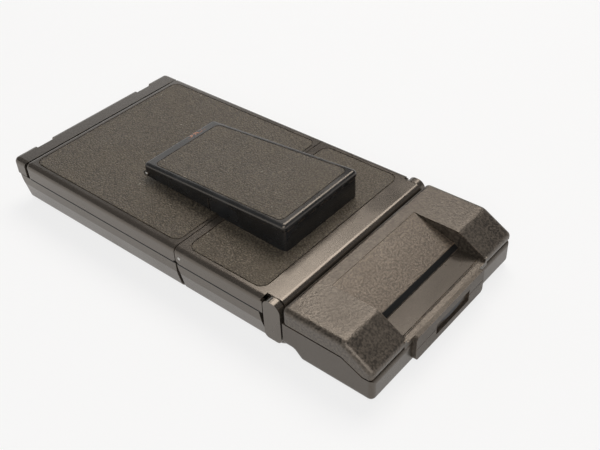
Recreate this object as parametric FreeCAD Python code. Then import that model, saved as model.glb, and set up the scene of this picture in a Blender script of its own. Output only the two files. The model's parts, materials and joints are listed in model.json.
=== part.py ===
import FreeCAD, Part
import math
import os

# A folding instant camera, stored folded flat.
# X is the width, the flash block is at the front (-Y), Z is up and the camera lies on Z = 0.
# The origin is under the middle of the folded length. All sizes are in millimetres.

# Driving dimensions of the folded body
body_width = 104.0
body_height = 25.0
rear_strip_length = 10.6
rear_cover_length = 104.9
front_cover_length = 59.8
block_gap = 1.0
block_length = 44.5
boss_height = 2.0
edge_radius = 2.7
seam_gap = 0.5
rim_depth = 8.4
rim_gap = 0.3
cover_top = 1.6
cover_side = 2.2
pin_clearance = 0.05
seat_clearance = 0.02
side_clearance = 0.2

# Leather
leather_thickness = 0.6
leather_margin = 0.5
leather_side = 4.6
rear_leather = (2.2, 3.0)
front_leather = (4.4, 12.6)
leather_corner = 4.0

# Base
base_bottom_inset = 1.8
base_wall = 0.8
base_corner = 2.4
base_floor = 1.8
rear_wall_inset = 3.2
notch_width = 11.0
notch_inset = 18.5
notch_to_corner = 15.0
notch_depth = 3.4

# Pivots of the fold, measured from the covers' seam and the top
rear_hinge_drop = 2.6
rear_hinge_inset = 1.3
apex_drop = 7.8
front_hinge_ahead = 54.4
front_hinge_drop = 3.6
arm_pivot_ahead = 20.4
arm_pivot_height = 11.0
hinge_pin_radius = 1.0
arm_pin_radius = 1.3
slot_clearance = 0.6
slot_wall = 1.0

# How far the rear cover opens, in degrees; the other folds follow from it
cover_opening = 36.4

# Ears of the front standard
ear_thickness = 3.5
ear_gap = 0.4
ear_bottom = 4.0
ear_back = 3.6
ear_nose = 4.4

# Flash and rangefinder block
block_top = 25.5
block_bottom = 1.2
pod_width = 22.5
pod_flat_length = 30.4
pod_slope_drop = 6.9
pod_slope_length = 11.9
part_line_rear = 17.6
part_line_front = 13.1
block_wall = 2.0
block_edge = 2.4
part_groove = 0.7
ramp_start = 7.7
ramp_length = 21.2
ramp_drop = 6.8
step_drop = 2.3
step_length = 2.2
plate_thickness = 1.0
nameplate_length = 10.4
boss_half_width = 25.6
boss_bottom = 3.2
boss_top = 15.8
boss_line = 9.4

# Viewfinder
finder_front_inset = 19.0
finder_length = 89.5
finder_front_half_width = 25.5
finder_rear_half_width = 23.7
finder_front_height = 14.2
finder_rear_height = 8.2
finder_wall = 1.6
finder_corner = 2.2
finder_rim = 3.0
finder_split = 5.2
finder_underside = 1.7
finder_ceiling = 1.6
cap_pivot_inset = 1.5
cap_swing_gap = 0.75
cap_pin_radius = 0.45
cap_lug_radius = 0.8
eyepiece_length = 58.0
eyepiece_pin_inset = 1.7
eyepiece_pin_height = 3.1
finder_pin_radius = 1.2
eyepiece_barrel_radius = 1.9
flap_half_width = 20.8

# Film and rollers
film_pack_side_room = 7.5
film_pack_end_room = 6.9
film_pack_height = 9.6
roller_set_back = 5.6
roller_floor_gap = 1.8
door_floor = 1.8

# Places worked out from the sizes above
half_width = body_width / 2
y_back = (rear_strip_length + rear_cover_length + front_cover_length + block_gap + block_length + boss_height) / 2
y_rear_seam = y_back - rear_strip_length
y_seam = y_rear_seam - rear_cover_length
y_cover_front = y_seam - front_cover_length
y_block_rear = y_cover_front - block_gap
y_block_front = y_block_rear - block_length
z_rim = body_height - rim_depth
z_base_top = z_rim - rim_gap
rear_pivot = (y_rear_seam - rear_hinge_inset, body_height - rear_hinge_drop)
apex_pivot = (y_seam, body_height - apex_drop)
front_pivot = (y_seam - front_hinge_ahead, body_height - front_hinge_drop)
arm_pivot = (y_seam - arm_pivot_ahead, arm_pivot_height)
inner_half_width = half_width - cover_side
base_bottom_half_width = half_width - base_bottom_inset
base_inner_half = base_bottom_half_width - base_wall
notch_middle = half_width - notch_inset
film_pack_half_width = half_width - film_pack_side_room
film_pack_length = rear_cover_length - film_pack_end_room
roller_radius = (z_base_top - door_floor) / 5
roller_height = door_floor + roller_radius + roller_floor_gap
hinge_bore_x = (half_width - 12, half_width - 2)


def point(x, y, z):
    return FreeCAD.Vector(x, y, z)


def block(x, y, z):
    """Box between pairs of X, Y and Z values."""
    return Part.makeBox(x[1] - x[0], y[1] - y[0], z[1] - z[0], point(x[0], y[0], z[0]))


def rod(radius, x, centre):
    """Round bar along X between a pair of X values, about a (y, z) centre."""
    return Part.makeCylinder(radius, x[1] - x[0], point(x[0], centre[0], centre[1]), point(1, 0, 0))


def post(radius, x, y, z):
    """Round bar along Z between a pair of Z values."""
    return Part.makeCylinder(radius, z[1] - z[0], point(x, y, z[0]))


def extruded(corners, direction):
    """Solid made by moving a closed flat outline along a direction."""
    wire = Part.makePolygon(corners + corners[:1])
    return Part.Face(wire).extrude(direction)


def side_plate(corners, x):
    """Plate with an outline of (y, z) corners between a pair of X values."""
    return extruded([point(x[0], y, z) for y, z in corners], point(x[1] - x[0], 0, 0))


def plan_plate(corners, z):
    """Plate with an outline of (x, y) corners between a pair of Z values."""
    return extruded([point(x, y, z[0]) for x, y in corners], point(0, 0, z[1] - z[0]))


def front_plate(corners, y):
    """Plate with an outline of (x, z) corners between a pair of Y values."""
    return extruded([point(x, y[0], z) for x, z in corners], point(0, y[1] - y[0], 0))


def turned(place, centre, degrees):
    """A (y, z) place turned about a centre, towards +Z from +Y."""
    angle = math.radians(degrees)
    y = place[0] - centre[0]
    z = place[1] - centre[1]
    return (centre[0] + y * math.cos(angle) - z * math.sin(angle), centre[1] + y * math.sin(angle) + z * math.cos(angle))


def bearing(start, end):
    """Direction from one (y, z) place to another, in degrees from +Y towards +Z."""
    return math.degrees(math.atan2(end[1] - start[1], end[0] - start[0]))


def solved_folds(opening):
    """Fold angles that bring the standard back to its pivot when the rear cover is open."""
    apex = turned(apex_pivot, rear_pivot, -opening)
    cover = math.dist(apex_pivot, front_pivot)
    standard = math.dist(front_pivot, arm_pivot)
    span = math.dist(apex, arm_pivot)
    corner = math.acos((cover ** 2 + span ** 2 - standard ** 2) / (2 * cover * span))
    way = bearing(apex, arm_pivot) - math.degrees(corner)
    front = (apex[0] + cover * math.cos(math.radians(way)), apex[1] + cover * math.sin(math.radians(way)))
    cover_turn = (bearing(apex, front) - bearing(apex_pivot, front_pivot)) % 360
    standard_turn = (bearing(front, arm_pivot) - bearing(front_pivot, arm_pivot) + 180) % 360 - 180
    return (opening, opening + cover_turn, cover_turn - standard_turn)


def runs_along(edge, axis):
    ends = edge.Vertexes
    if len(ends) != 2:
        return False
    span = ends[1].Point - ends[0].Point
    return span.Length > 0.01 and abs(abs(span * axis) - span.Length) < 0.001


def softened(solid, radius, axis, spots):
    """Round the edges along an axis that pass near one of the spots, given as points."""
    chosen = []
    for edge in solid.Edges:
        if runs_along(edge, axis):
            middle = edge.CenterOfMass
            for spot in spots:
                gap = middle - spot
                gap = gap - axis * (gap * axis)
                if gap.Length < 0.05:
                    chosen.append(edge)
                    break
    return solid.makeFillet(radius, chosen)


def rounded_block(x, y, z, radius):
    """Box with its four upright edges rounded."""
    corners = [point(a, b, 0) for a in x for b in y]
    return softened(block(x, y, z), radius, point(0, 0, 1), corners)


def mirrored(shape):
    """The same piece on the other side of the middle plane."""
    return shape.mirror(point(0, 0, 0), point(1, 0, 0))


def pair(shape):
    """A piece and its mirror image, as one group."""
    return Part.makeCompound([shape, mirrored(shape)])


def with_both(solid, addition):
    """Fuse a piece and its mirror image to a solid."""
    return solid.fuse([addition, mirrored(addition)]).removeSplitter()


def without_both(solid, removal):
    """Cut a piece and its mirror image out of a solid."""
    return solid.cut([removal, mirrored(removal)])


def cover_blank(y, rounded_end):
    """Outer form of a cover: flat top with rounded long edges and one rounded end."""
    solid = block((-half_width, half_width), y, (z_rim, body_height))
    along = softened(solid, edge_radius, point(0, 1, 0),
                     [point(-half_width, 0, body_height), point(half_width, 0, body_height)])
    return softened(along, edge_radius, point(1, 0, 0), [point(0, rounded_end, body_height)])


def leather_panel(y):
    side = half_width - leather_side
    top = (body_height - leather_thickness, body_height)
    return rounded_block((-side, side), y, top, leather_corner)


def leather_pocket(y):
    side = half_width - leather_side + leather_margin
    edges = (y[0] - leather_margin, y[1] + leather_margin)
    depth = (body_height - leather_thickness, body_height + 1)
    return rounded_block((-side, side), edges, depth, leather_corner + leather_margin)


# Rear cover
rear_cover_end = rear_pivot[0] + edge_radius
rear_cover_start = y_seam + seam_gap / 2
rear_leather_y = (y_seam + rear_leather[0], y_rear_seam - rear_leather[1])
lug_width = 1.8
lug_radius = 2.4
rear_lug_x = (half_width - 7.8, half_width - 5.2)
rear_lug_radius = 1.9
front_lug_x = (half_width - 7.1, half_width - 7.1 + lug_width)
back_lug_x = (front_lug_x[1] + side_clearance, front_lug_x[1] + side_clearance + lug_width)
end_wall = 1.4
end_wall_half_width = half_width - 8.0


def rear_cover_shell():
    shell = cover_blank((rear_cover_start, rear_cover_end), rear_cover_end)
    ceiling = body_height - cover_top
    room = block((-inner_half_width, inner_half_width),
                 (rear_cover_start + end_wall, rear_pivot[0] - edge_radius), (z_rim - 1, ceiling))
    shell = shell.cut(room)
    # The lower rear corner follows a circle about the hinge, clear of the base's rim.
    corner = block((-half_width, half_width), (rear_pivot[0] + 1, rear_cover_end + 1), (z_rim - 1, z_rim + 2))
    shell = shell.cut(corner.cut(rod(rear_pivot[1] - z_base_top - 0.1, (-half_width - 1, half_width + 1), rear_pivot)))
    # The end wall stops short of the hinge lugs and is trimmed under the seam.
    passage = block((end_wall_half_width, inner_half_width),
                    (rear_cover_start - 1, rear_cover_start + 2 * end_wall), (z_rim - 1, ceiling))
    shell = without_both(shell, passage)
    trim = side_plate([(rear_cover_start - 1, z_rim - 1), (rear_cover_start + 2, z_rim - 1),
                       (rear_cover_start + 2, z_rim), (rear_cover_start - 1, z_rim + 2)],
                      (-half_width, half_width))
    shell = shell.cut(trim)
    shell = shell.cut(leather_pocket(rear_leather_y))
    # Round pockets for the base's lugs, open below and behind.
    lug_room_x = (rear_lug_x[0] - side_clearance, rear_lug_x[1] + side_clearance)
    lug_room = rod(rear_lug_radius + side_clearance, lug_room_x, rear_pivot)
    lug_room = lug_room.fuse(block(lug_room_x, (rear_pivot[0] - rear_lug_radius - side_clearance, rear_cover_end + 1),
                                   (z_rim - 1, rear_pivot[1])))
    lug_room = lug_room.fuse(block(lug_room_x, (rear_pivot[0], rear_cover_end + 1), (rear_pivot[1] - 1, rear_pivot[1] + 1.4)))
    shell = without_both(shell, lug_room)
    pin_hole_x = (rear_lug_x[0] - 4, rear_lug_x[1] + 3)
    shell = without_both(shell, rod(hinge_pin_radius + seat_clearance, pin_hole_x, rear_pivot))
    # Lugs of the apex hinge, reaching forward round the hinge line.
    lug = rod(lug_radius, back_lug_x, apex_pivot)
    web = side_plate([(apex_pivot[0] + 0.4, apex_pivot[1] - lug_radius + 0.5),
                      (apex_pivot[0] + 8, z_rim + 1), (apex_pivot[0] + 12, ceiling + 0.2),
                      (rear_cover_start + 0.3, ceiling + 0.2), (rear_cover_start + 0.3, apex_pivot[1] + 1)],
                     back_lug_x)
    lug = lug.fuse(web).cut(rod(hinge_pin_radius + seat_clearance, hinge_bore_x, apex_pivot))
    return with_both(shell, lug)


def viewing_mirror():
    """Mirror under the rear cover, wide at the seam and narrow towards the hinge."""
    top = body_height - cover_top
    wide = half_width - 11
    narrow = half_width - 22
    y = (y_seam + 8, y_rear_seam - 22)
    corners = [(-wide, y[0]), (wide, y[0]), (narrow, y[1]), (-narrow, y[1])]
    return plan_plate(corners, (top - 1.4, top))


# Front cover
front_cover_start = y_seam - seam_gap / 2
front_leather_y = (y_cover_front + front_leather[1], y_seam - front_leather[0])
ear_room_rear = front_pivot[0] + ear_back + ear_gap
ear_inner = half_width - ear_thickness
front_lip_height = 4.4
front_wall = 2.4


def front_cover_shell():
    shell = cover_blank((y_cover_front, front_cover_start), y_cover_front)
    ceiling = body_height - cover_top
    room = block((-inner_half_width, inner_half_width),
                 (y_cover_front + front_wall, front_cover_start - end_wall), (z_rim - 1, ceiling))
    shell = shell.cut(room)
    passage = block((end_wall_half_width, inner_half_width),
                    (front_cover_start - 2 * end_wall, front_cover_start + 1), (z_rim - 1, ceiling))
    shell = without_both(shell, passage)
    trim = side_plate([(front_cover_start + 1, z_rim - 1), (front_cover_start - 2, z_rim - 1),
                       (front_cover_start - 2, z_rim), (front_cover_start + 1, z_rim + 2)],
                      (-half_width, half_width))
    shell = shell.cut(trim)
    shell = shell.cut(leather_pocket(front_leather_y))
    lip = block((-half_width, half_width), (y_cover_front - 1, ear_room_rear), (z_rim - 1, body_height - front_lip_height))
    shell = shell.cut(lip)
    # Bosses that carry the front hinge pins.
    boss_x = (ear_inner - ear_gap - 4.5, ear_inner - ear_gap)
    boss = rod(front_hinge_drop - 0.6, boss_x, front_pivot)
    boss = boss.fuse(block(boss_x, (y_cover_front + 1, front_pivot[0] + 2.9), (front_pivot[1], ceiling + 0.2)))
    shell = with_both(shell, boss)
    # Room for the ears, with a rounded corner behind each.
    ear_room = block((ear_inner - ear_gap, half_width + 1), (y_cover_front - 1, ear_room_rear), (z_rim - 1, body_height + 1))
    corner = rod(ear_back + ear_gap + 1.2, (ear_inner - ear_gap, half_width + 1), (front_pivot[0], front_pivot[1]))
    corner = corner.common(block((0, half_width + 1), (front_pivot[0], y_seam), (front_pivot[1] + 1.6, body_height + 1)))
    shell = without_both(shell, ear_room.fuse(corner))
    pin_hole = rod(hinge_pin_radius + seat_clearance, (boss_x[0] - 1, boss_x[1] + 1), front_pivot)
    shell = without_both(shell, pin_hole)
    # Lugs of the apex hinge, reaching back round the hinge line.
    lug = rod(lug_radius, front_lug_x, apex_pivot)
    web = side_plate([(apex_pivot[0] - 0.4, apex_pivot[1] - lug_radius + 0.5),
                      (apex_pivot[0] - 6, z_rim + 1), (apex_pivot[0] - 9, ceiling + 0.2),
                      (front_cover_start - 0.3, ceiling + 0.2), (front_cover_start - 0.3, apex_pivot[1] + 1)],
                     front_lug_x)
    lug = lug.fuse(web).cut(rod(hinge_pin_radius + pin_clearance, hinge_bore_x, apex_pivot))
    return with_both(shell, lug)


def apex_pins():
    return pair(rod(hinge_pin_radius, (front_lug_x[0] - 0.6, back_lug_x[1] + 0.6), apex_pivot))


def rear_pins():
    return pair(rod(hinge_pin_radius, (rear_lug_x[0] - 3.4, rear_lug_x[1] + 2.4), rear_pivot))


def front_pins():
    outer = half_width - 1.0
    return pair(rod(hinge_pin_radius, (ear_inner - ear_gap - 4.3, outer), front_pivot))


# Base
y_base_rear = y_back - rear_wall_inset
door_hinge_radius = 2.2
door_hinge = (y_seam - seam_gap / 2 - door_hinge_radius, door_hinge_radius)


def hull_section(y):
    """Cross-section of the lower body: upright at the rim, drawn in and rounded below."""
    low = base_bottom_half_width
    corners = [(-half_width, z_base_top), (-half_width, z_base_top - 5), (-low, base_corner),
               (-low + base_corner, 0), (low - base_corner, 0), (low, base_corner),
               (half_width, z_base_top - 5), (half_width, z_base_top)]
    solid = front_plate(corners, y)
    spots = [point(s * low, 0, base_corner) for s in (-1, 1)]
    spots = spots + [point(s * (low - base_corner), 0, 0) for s in (-1, 1)]
    return softened(solid, base_corner, point(0, 1, 0), spots)


def base_tray():
    front = y_seam + seam_gap / 2
    tray = hull_section((front, y_base_rear))
    rear_edges = [point(0, y_base_rear, 0)]
    tray = softened(tray, base_corner, point(1, 0, 0), rear_edges)
    room = block((-base_inner_half, base_inner_half), (front - 1, y_base_rear - 6.4), (base_floor, z_base_top + 1))
    tray = tray.cut(room)
    # Lugs that carry the rear cover's hinge pins.
    foot = (y_base_rear - 7.2, y_base_rear - 4.4)
    lug = rod(rear_lug_radius, rear_lug_x, rear_pivot)
    stem = side_plate([(rear_pivot[0] - rear_lug_radius, rear_pivot[1]), (rear_pivot[0] - rear_lug_radius, z_base_top),
                       (foot[0], z_base_top - 2), (foot[0], z_base_top - 4), (foot[1], z_base_top - 4),
                       (foot[1], z_base_top + 0.1), (rear_pivot[0] + rear_lug_radius, z_base_top + 1.5),
                       (rear_pivot[0] + rear_lug_radius, rear_pivot[1])], rear_lug_x)
    lug = lug.fuse(stem).cut(rod(hinge_pin_radius + pin_clearance, hinge_bore_x, rear_pivot))
    tray = with_both(tray, lug)
    socket = post(tripod_boss_radius, 0, tripod_y, (-1, tripod_boss_height + seat_clearance))
    return tray.cut(socket)


# Tripod socket
tripod_y = y_base_rear - 8.7
tripod_hole_radius = 2.55
tripod_boss_radius = 3.9
tripod_boss_height = 8.0


def tripod_bush():
    """Brass bush let into the rear of the base, with the hole for a quarter-inch screw."""
    bush = post(tripod_boss_radius - seat_clearance, 0, tripod_y, (0.2, tripod_boss_height))
    return bush.cut(post(tripod_hole_radius, 0, tripod_y, (-1, tripod_boss_height + 1)))


def rear_end_piece():
    """Strip behind the rear cover, hollowed to the cover's rounded edge and notched at the back."""
    front = rear_pivot[0]
    piece = block((-half_width, half_width), (front, y_back), (z_rim, body_height))
    tops = [point(-half_width, 0, body_height), point(half_width, 0, body_height)]
    piece = softened(piece, edge_radius, point(0, 1, 0), tops)
    piece = softened(piece, edge_radius, point(1, 0, 0), [point(0, y_back, body_height)])
    gap_radius = edge_radius + rim_gap
    piece = piece.cut(rod(gap_radius, (-half_width - 1, half_width + 1), rear_pivot))
    below = block((-half_width - 1, half_width + 1), (front - 1, front + gap_radius), (z_rim - 1, rear_pivot[1]))
    piece = piece.cut(below)
    notch = block((notch_middle - notch_width / 2, notch_middle + notch_width / 2),
                  (y_back - notch_depth, y_back + 1), (z_rim - 1, body_height + 1))
    piece = without_both(piece, notch)
    corner = block((notch_middle + notch_to_corner, half_width + 1), (y_back - 0.8, y_back + 1), (z_rim - 1, body_height + 1))
    return without_both(piece, corner)


def rear_wall_pad():
    """Sole that ties the rear strip to the tray."""
    side = half_width - 12
    return block((-side, side), (y_base_rear - 6.0, y_base_rear - 0.8), (z_base_top, z_rim))


arm_thickness = 1.8
arm_x = (base_inner_half - 2.7, base_inner_half - 2.7 + arm_thickness)


def standard_arms():
    """Steel arms screwed inside the base's walls, reaching forward to the standard's pivot."""
    y, z = arm_pivot
    arm = side_plate([(y, z - 3.0), (y_seam + 26, z - 5.0), (y_seam + 26, z + 2.6), (y, z + 3.0)], arm_x)
    arm = arm.fuse(rod(3.0, arm_x, arm_pivot))
    pin = rod(arm_pin_radius, (arm_x[0] - 2.4, arm_x[0] + 0.1), arm_pivot)
    spacer = block((arm_x[1] - 0.1, base_inner_half), (y_seam + 6, y_seam + 24), (z - 3, z + 1))
    return pair(arm.fuse([pin, spacer]))


def film_pack():
    """Flat box of film sheets, with the exposure opening on top and the exit slot in front."""
    side = film_pack_half_width
    y = (y_seam + 1.6, y_seam + 1.6 + film_pack_length)
    z = (base_floor + 0.7, base_floor + 0.7 + film_pack_height)
    pack = block((-side, side), y, z)
    window = block((-side + 5, side - 5), (y[0] + 8, y[1] - 11), (z[1] - 0.9, z[1] + 1))
    return pack.cut(window)


def dark_slide():
    """Top film sheet seen through the pack's opening."""
    side = film_pack_half_width - 5.2
    y = (y_seam + 9.8, y_seam + 1.6 + film_pack_length - 11.2)
    top = base_floor + 0.7 + film_pack_height
    return block((-side, side), y, (top - 0.9, top - 0.5))


def pack_spring():
    """Bowed leaf under the film pack."""
    y = (y_seam + 20, y_seam + 80)
    return block((-20, -12), y, (base_floor, base_floor + 0.7)).fuse(block((12, 20), y, (base_floor, base_floor + 0.7))).fuse(
        block((-20, 20), (y_seam + 44, y_seam + 54), (base_floor, base_floor + 0.7)))


carrier_thickness = 2.2
z_carrier = base_floor + 0.7 + film_pack_height + 0.3


def screen_carrier():
    """Frame that holds the focusing screen over the film."""
    side = half_width - 9
    y = (y_seam + 3.4, y_rear_seam - 12.9)
    frame = rounded_block((-side, side), y, (z_carrier, z_carrier + carrier_thickness), 3)
    well = rounded_block((-side + 4, side - 4), (y[0] + 4, y[1] - 6), (z_carrier + 1.2, z_carrier + 3), 2)
    return frame.cut(well)


def focusing_screen():
    side = half_width - 13.2
    y = (y_seam + 7.6, y_rear_seam - 19.1)
    return block((-side, side), y, (z_carrier + 1.2, z_carrier + 2.1))


# Film door
y_door_front = y_cover_front


def film_door():
    """Lower front wall of the body, hinged at its rear lower edge."""
    rear = y_seam - seam_gap / 2
    door = hull_section((y_door_front, rear))
    door = softened(door, door_hinge_radius, point(1, 0, 0), [point(0, rear, 0)])
    door = softened(door, base_corner, point(1, 0, 0), [point(0, y_door_front, 0)])
    room = block((-base_inner_half, base_inner_half), (ear_room_rear - 1, rear + 1), (door_floor, z_base_top + 1))
    door = door.cut(room)
    y_wall_end = front_pivot[0] + ear_back + ear_gap
    low = block((-half_width - 1, half_width + 1), (y_door_front - 1, y_wall_end), (ear_bottom - ear_gap, z_base_top + 1))
    door = door.cut(low)
    # The walls' front edges curve back, so that they pass the ears as the door drops.
    reach = door_hinge[0] - y_wall_end - 0.05
    sweep = rod(reach, (-half_width - 1, half_width + 1), door_hinge)
    wall_ends = block((-half_width - 1, half_width + 1), (y_door_front - 1, y_wall_end + 6), (ear_bottom, z_base_top + 1))
    door = door.cut(wall_ends.cut(sweep))
    return door.cut(block((-half_width + 6, half_width - 6), (y_door_front + 2.2, y_wall_end + 0.1), (door_floor, ear_bottom)))


roller_y = y_seam - roller_set_back
roller_gap = 0.2
roller_bracket_x = (half_width - 7.2, half_width - 5.8)
journal_radius = 1.2
bracket_bevel = 2.2


def roller_brackets():
    """Steel side plates that hold both rollers in the film door."""
    half = 3.4
    top = apex_pivot[1] - lug_radius + 0.5
    front, rear = roller_y - half, roller_y + half
    plate = side_plate([(front, door_floor), (rear, door_floor), (rear, top - bracket_bevel),
                        (rear - bracket_bevel, top), (front, top)], roller_bracket_x)
    for centre in roller_centres():
        plate = plate.cut(rod(journal_radius + pin_clearance, hinge_bore_x, centre))
    return pair(plate)


def roller_centres():
    lower = (roller_y, roller_height)
    upper = (roller_y, roller_height + 2 * roller_radius + roller_gap)
    return [lower, upper]


def film_roller(centre):
    """Steel roller with thin journals at its ends."""
    side = half_width - 8.4
    core = rod(roller_radius, (-side, side), centre)
    return core.fuse(rod(journal_radius, (-roller_bracket_x[1], roller_bracket_x[1]), centre))


# Front standard: ears, shutter housing and block
housing_z = (7.6, body_height - 4.2)
housing_half = half_width - 8.4
y_housing = (front_pivot[0] + 2.6, arm_pivot[0] + 2.9)
housing_slope = (14.0, 4.3)
cheek_reach = 5.5
neck_top = 15.3


def standard_frame():
    """Ears at the sides joined by a bar under the front cover's edge."""
    y = (y_cover_front, front_pivot[0] + ear_back)
    ear = block((ear_inner, half_width), y, (ear_bottom, body_height))
    ear = softened(ear, ear_back, point(1, 0, 0), [point(half_width, y[1], body_height)])
    ear = softened(ear, ear_nose, point(1, 0, 0), [point(half_width, y[0], body_height)])
    ear = softened(ear, 2.4, point(1, 0, 0), [point(half_width, y[0], ear_bottom), point(half_width, y[1], ear_bottom)])
    ear = ear.cut(rod(hinge_pin_radius + pin_clearance, (ear_inner - 1, half_width - 0.8), front_pivot))
    bar = block((-ear_inner - 0.5, ear_inner + 0.5), (y[0] + 0.8, y_housing[0]), (ear_bottom + 2, neck_top))
    tongue = block((-half_width + 12, half_width - 12), (y_block_rear, y[0] + 1), (ear_bottom + 2.6, neck_top - 1))
    return with_both(bar.fuse(tongue), ear)


fold_angles = solved_folds(cover_opening)


def pin_path(x, margin, width):
    """Outline round the path that the arm's pin takes in the cheek as the fold opens."""
    path = []
    steps = 8
    for step in range(steps):
        share = step / steps
        place = turned(arm_pivot, rear_pivot, fold_angles[0] * share)
        place = turned(place, apex_pivot, -fold_angles[1] * share)
        place = turned(place, front_pivot, fold_angles[2] * share)
        path.append(point(x, place[0], place[1]))
    loop = Part.makePolygon(path + path[:1])
    return Part.Face(loop.makeOffset2D(margin)).extrude(point(width, 0, 0))


def standard_housing():
    """Shutter housing, which lies under the front cover with the lens facing down."""
    body = rounded_block((-housing_half, housing_half), y_housing, housing_z, 2.0)
    slope = side_plate([(y_housing[1] - housing_slope[0], housing_z[1] + 0.01), (y_housing[1] + 1, housing_z[1] + 0.01),
                        (y_housing[1] + 1, housing_z[1] - housing_slope[1])], (-half_width, half_width))
    body = body.cut(slope)
    lens_well = post(13.2, lens_place[0], lens_place[1], (housing_z[0] - 1, housing_z[0] + 6))
    body = body.cut(lens_well)
    button_well = post(button_radius + 0.35, button_place[0], button_place[1], (housing_z[0] - 1, housing_z[0] + 4))
    body = body.cut(button_well)
    wheel_well = post(wheel_radius + wheel_room, wheel_place[0], wheel_place[1], (housing_z[0] - 1, housing_z[0] + 2.5))
    axle_hole = post(wheel_axle_radius + seat_clearance, wheel_place[0], wheel_place[1], (housing_z[0] - 1, housing_z[0] + 5.1))
    body = body.cut([wheel_well, axle_hole])
    eye_well = block((eye_x[0] - seat_clearance, eye_x[1] + seat_clearance),
                     (lens_place[1] - 4 - seat_clearance, lens_place[1] + 4 + seat_clearance),
                     (housing_z[0] - 1, housing_z[0] + 1.2))
    body = body.cut(eye_well)
    # Side cheeks with a roomy slot for the base's pivot pin.
    cheek_x = (housing_half - 0.1, arm_x[0] - 0.4)
    y, z = arm_pivot
    cheek = side_plate([(y - 8, housing_z[1]), (y - 8, z - 3.0), (y + 1, z - 3.0), (y + cheek_reach, z + 1.5),
                        (y + cheek_reach, z + 7.0), (y + 2, housing_z[1] - 0.6), (y - 3, housing_z[1])], cheek_x)
    slot_margin = arm_pin_radius + slot_clearance
    rim = pin_path(cheek_x[0], slot_margin + slot_wall, cheek_x[1] - cheek_x[0])
    slot = pin_path(cheek_x[0] - 2.5, slot_margin, cheek_x[1] - cheek_x[0] + 3.5)
    return without_both(with_both(body, cheek.fuse(rim)), slot)


lens_place = (0.0, y_housing[0] + 17.0)
button_place = (20.0 - half_width, y_housing[0] + 9.0)
button_radius = 4.2
eye_x = (18.0, 26.0)
wheel_place = (half_width - 19.0, y_housing[0] + 9.0)
wheel_radius = 6.4
wheel_room = 0.35


def lens_barrel():
    """Fixed tube behind the focusing lens."""
    x, y = lens_place
    tube = post(13.2 - seat_clearance, x, y, (housing_z[0] + 2.6, housing_z[0] + 6))
    return tube.cut(post(7.0, x, y, (0, housing_z[0] + 7)))


def lens_ring():
    """Turning ring that carries the front lens."""
    x, y = lens_place
    ring = post(12.8, x, y, (housing_z[0] - 1.2, housing_z[0] + 2.3))
    ring = ring.cut(post(8.0, x, y, (0, housing_z[0] + 7)))
    return ring


def front_lens():
    """Glass dome in the ring."""
    x, y = lens_place
    glass = post(7.9, x, y, (housing_z[0] - 0.4, housing_z[0] + 2.1))
    dome = Part.makeSphere(24.0, point(x, y, housing_z[0] - 1.0 + 24.0))
    return glass.common(dome)


def shutter_button():
    x, y = button_place
    return post(button_radius, x, y, (housing_z[0] - 1.4, housing_z[0] + 2.4))


def focus_wheel():
    """Knurled wheel beside the lens, which turns the lens ring."""
    x, y = wheel_place
    wheel = post(wheel_radius, x, y, (housing_z[0] - 1.0, housing_z[0] + 2.2))
    teeth = 24
    cuts = []
    for tooth in range(teeth):
        angle = 2 * math.pi * tooth / teeth
        cuts.append(post(0.45, x + wheel_radius * math.cos(angle), y + wheel_radius * math.sin(angle),
                         (housing_z[0] - 2, housing_z[0] + 3)))
    wheel = wheel.cut(cuts)
    return wheel.cut(post(wheel_axle_radius + pin_clearance, x, y, (housing_z[0] - 2, housing_z[0] + 3)))


def wheel_axle():
    """Steel stud that the focus wheel turns on."""
    x, y = wheel_place
    return post(wheel_axle_radius, x, y, (housing_z[0] - 0.8, housing_z[0] + 5))


wheel_axle_radius = 1.4


def light_eye():
    """Small window of the light meter."""
    return block(eye_x, (lens_place[1] - 4, lens_place[1] + 4), (housing_z[0] + 0.2, housing_z[0] + 1.2))


# Flash and rangefinder block
y_ramp_start = y_block_rear - ramp_start
y_ramp_end = y_ramp_start - ramp_length
y_plate_start = y_ramp_end - step_length
y_plate_end = y_plate_start - nameplate_length
z_ramp_end = block_top - ramp_drop
z_plate = z_ramp_end - step_drop
y_pod_bend = y_block_rear - pod_flat_length
y_pod_nose = y_pod_bend - pod_slope_length
pod_inner = half_width - pod_width
strip_x = [(-42.0, 22.0), (32.0, 47.0)]
strip_width = 1.9
lower_break = (y_block_rear - 29.5, y_block_rear - 39.5)


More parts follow.
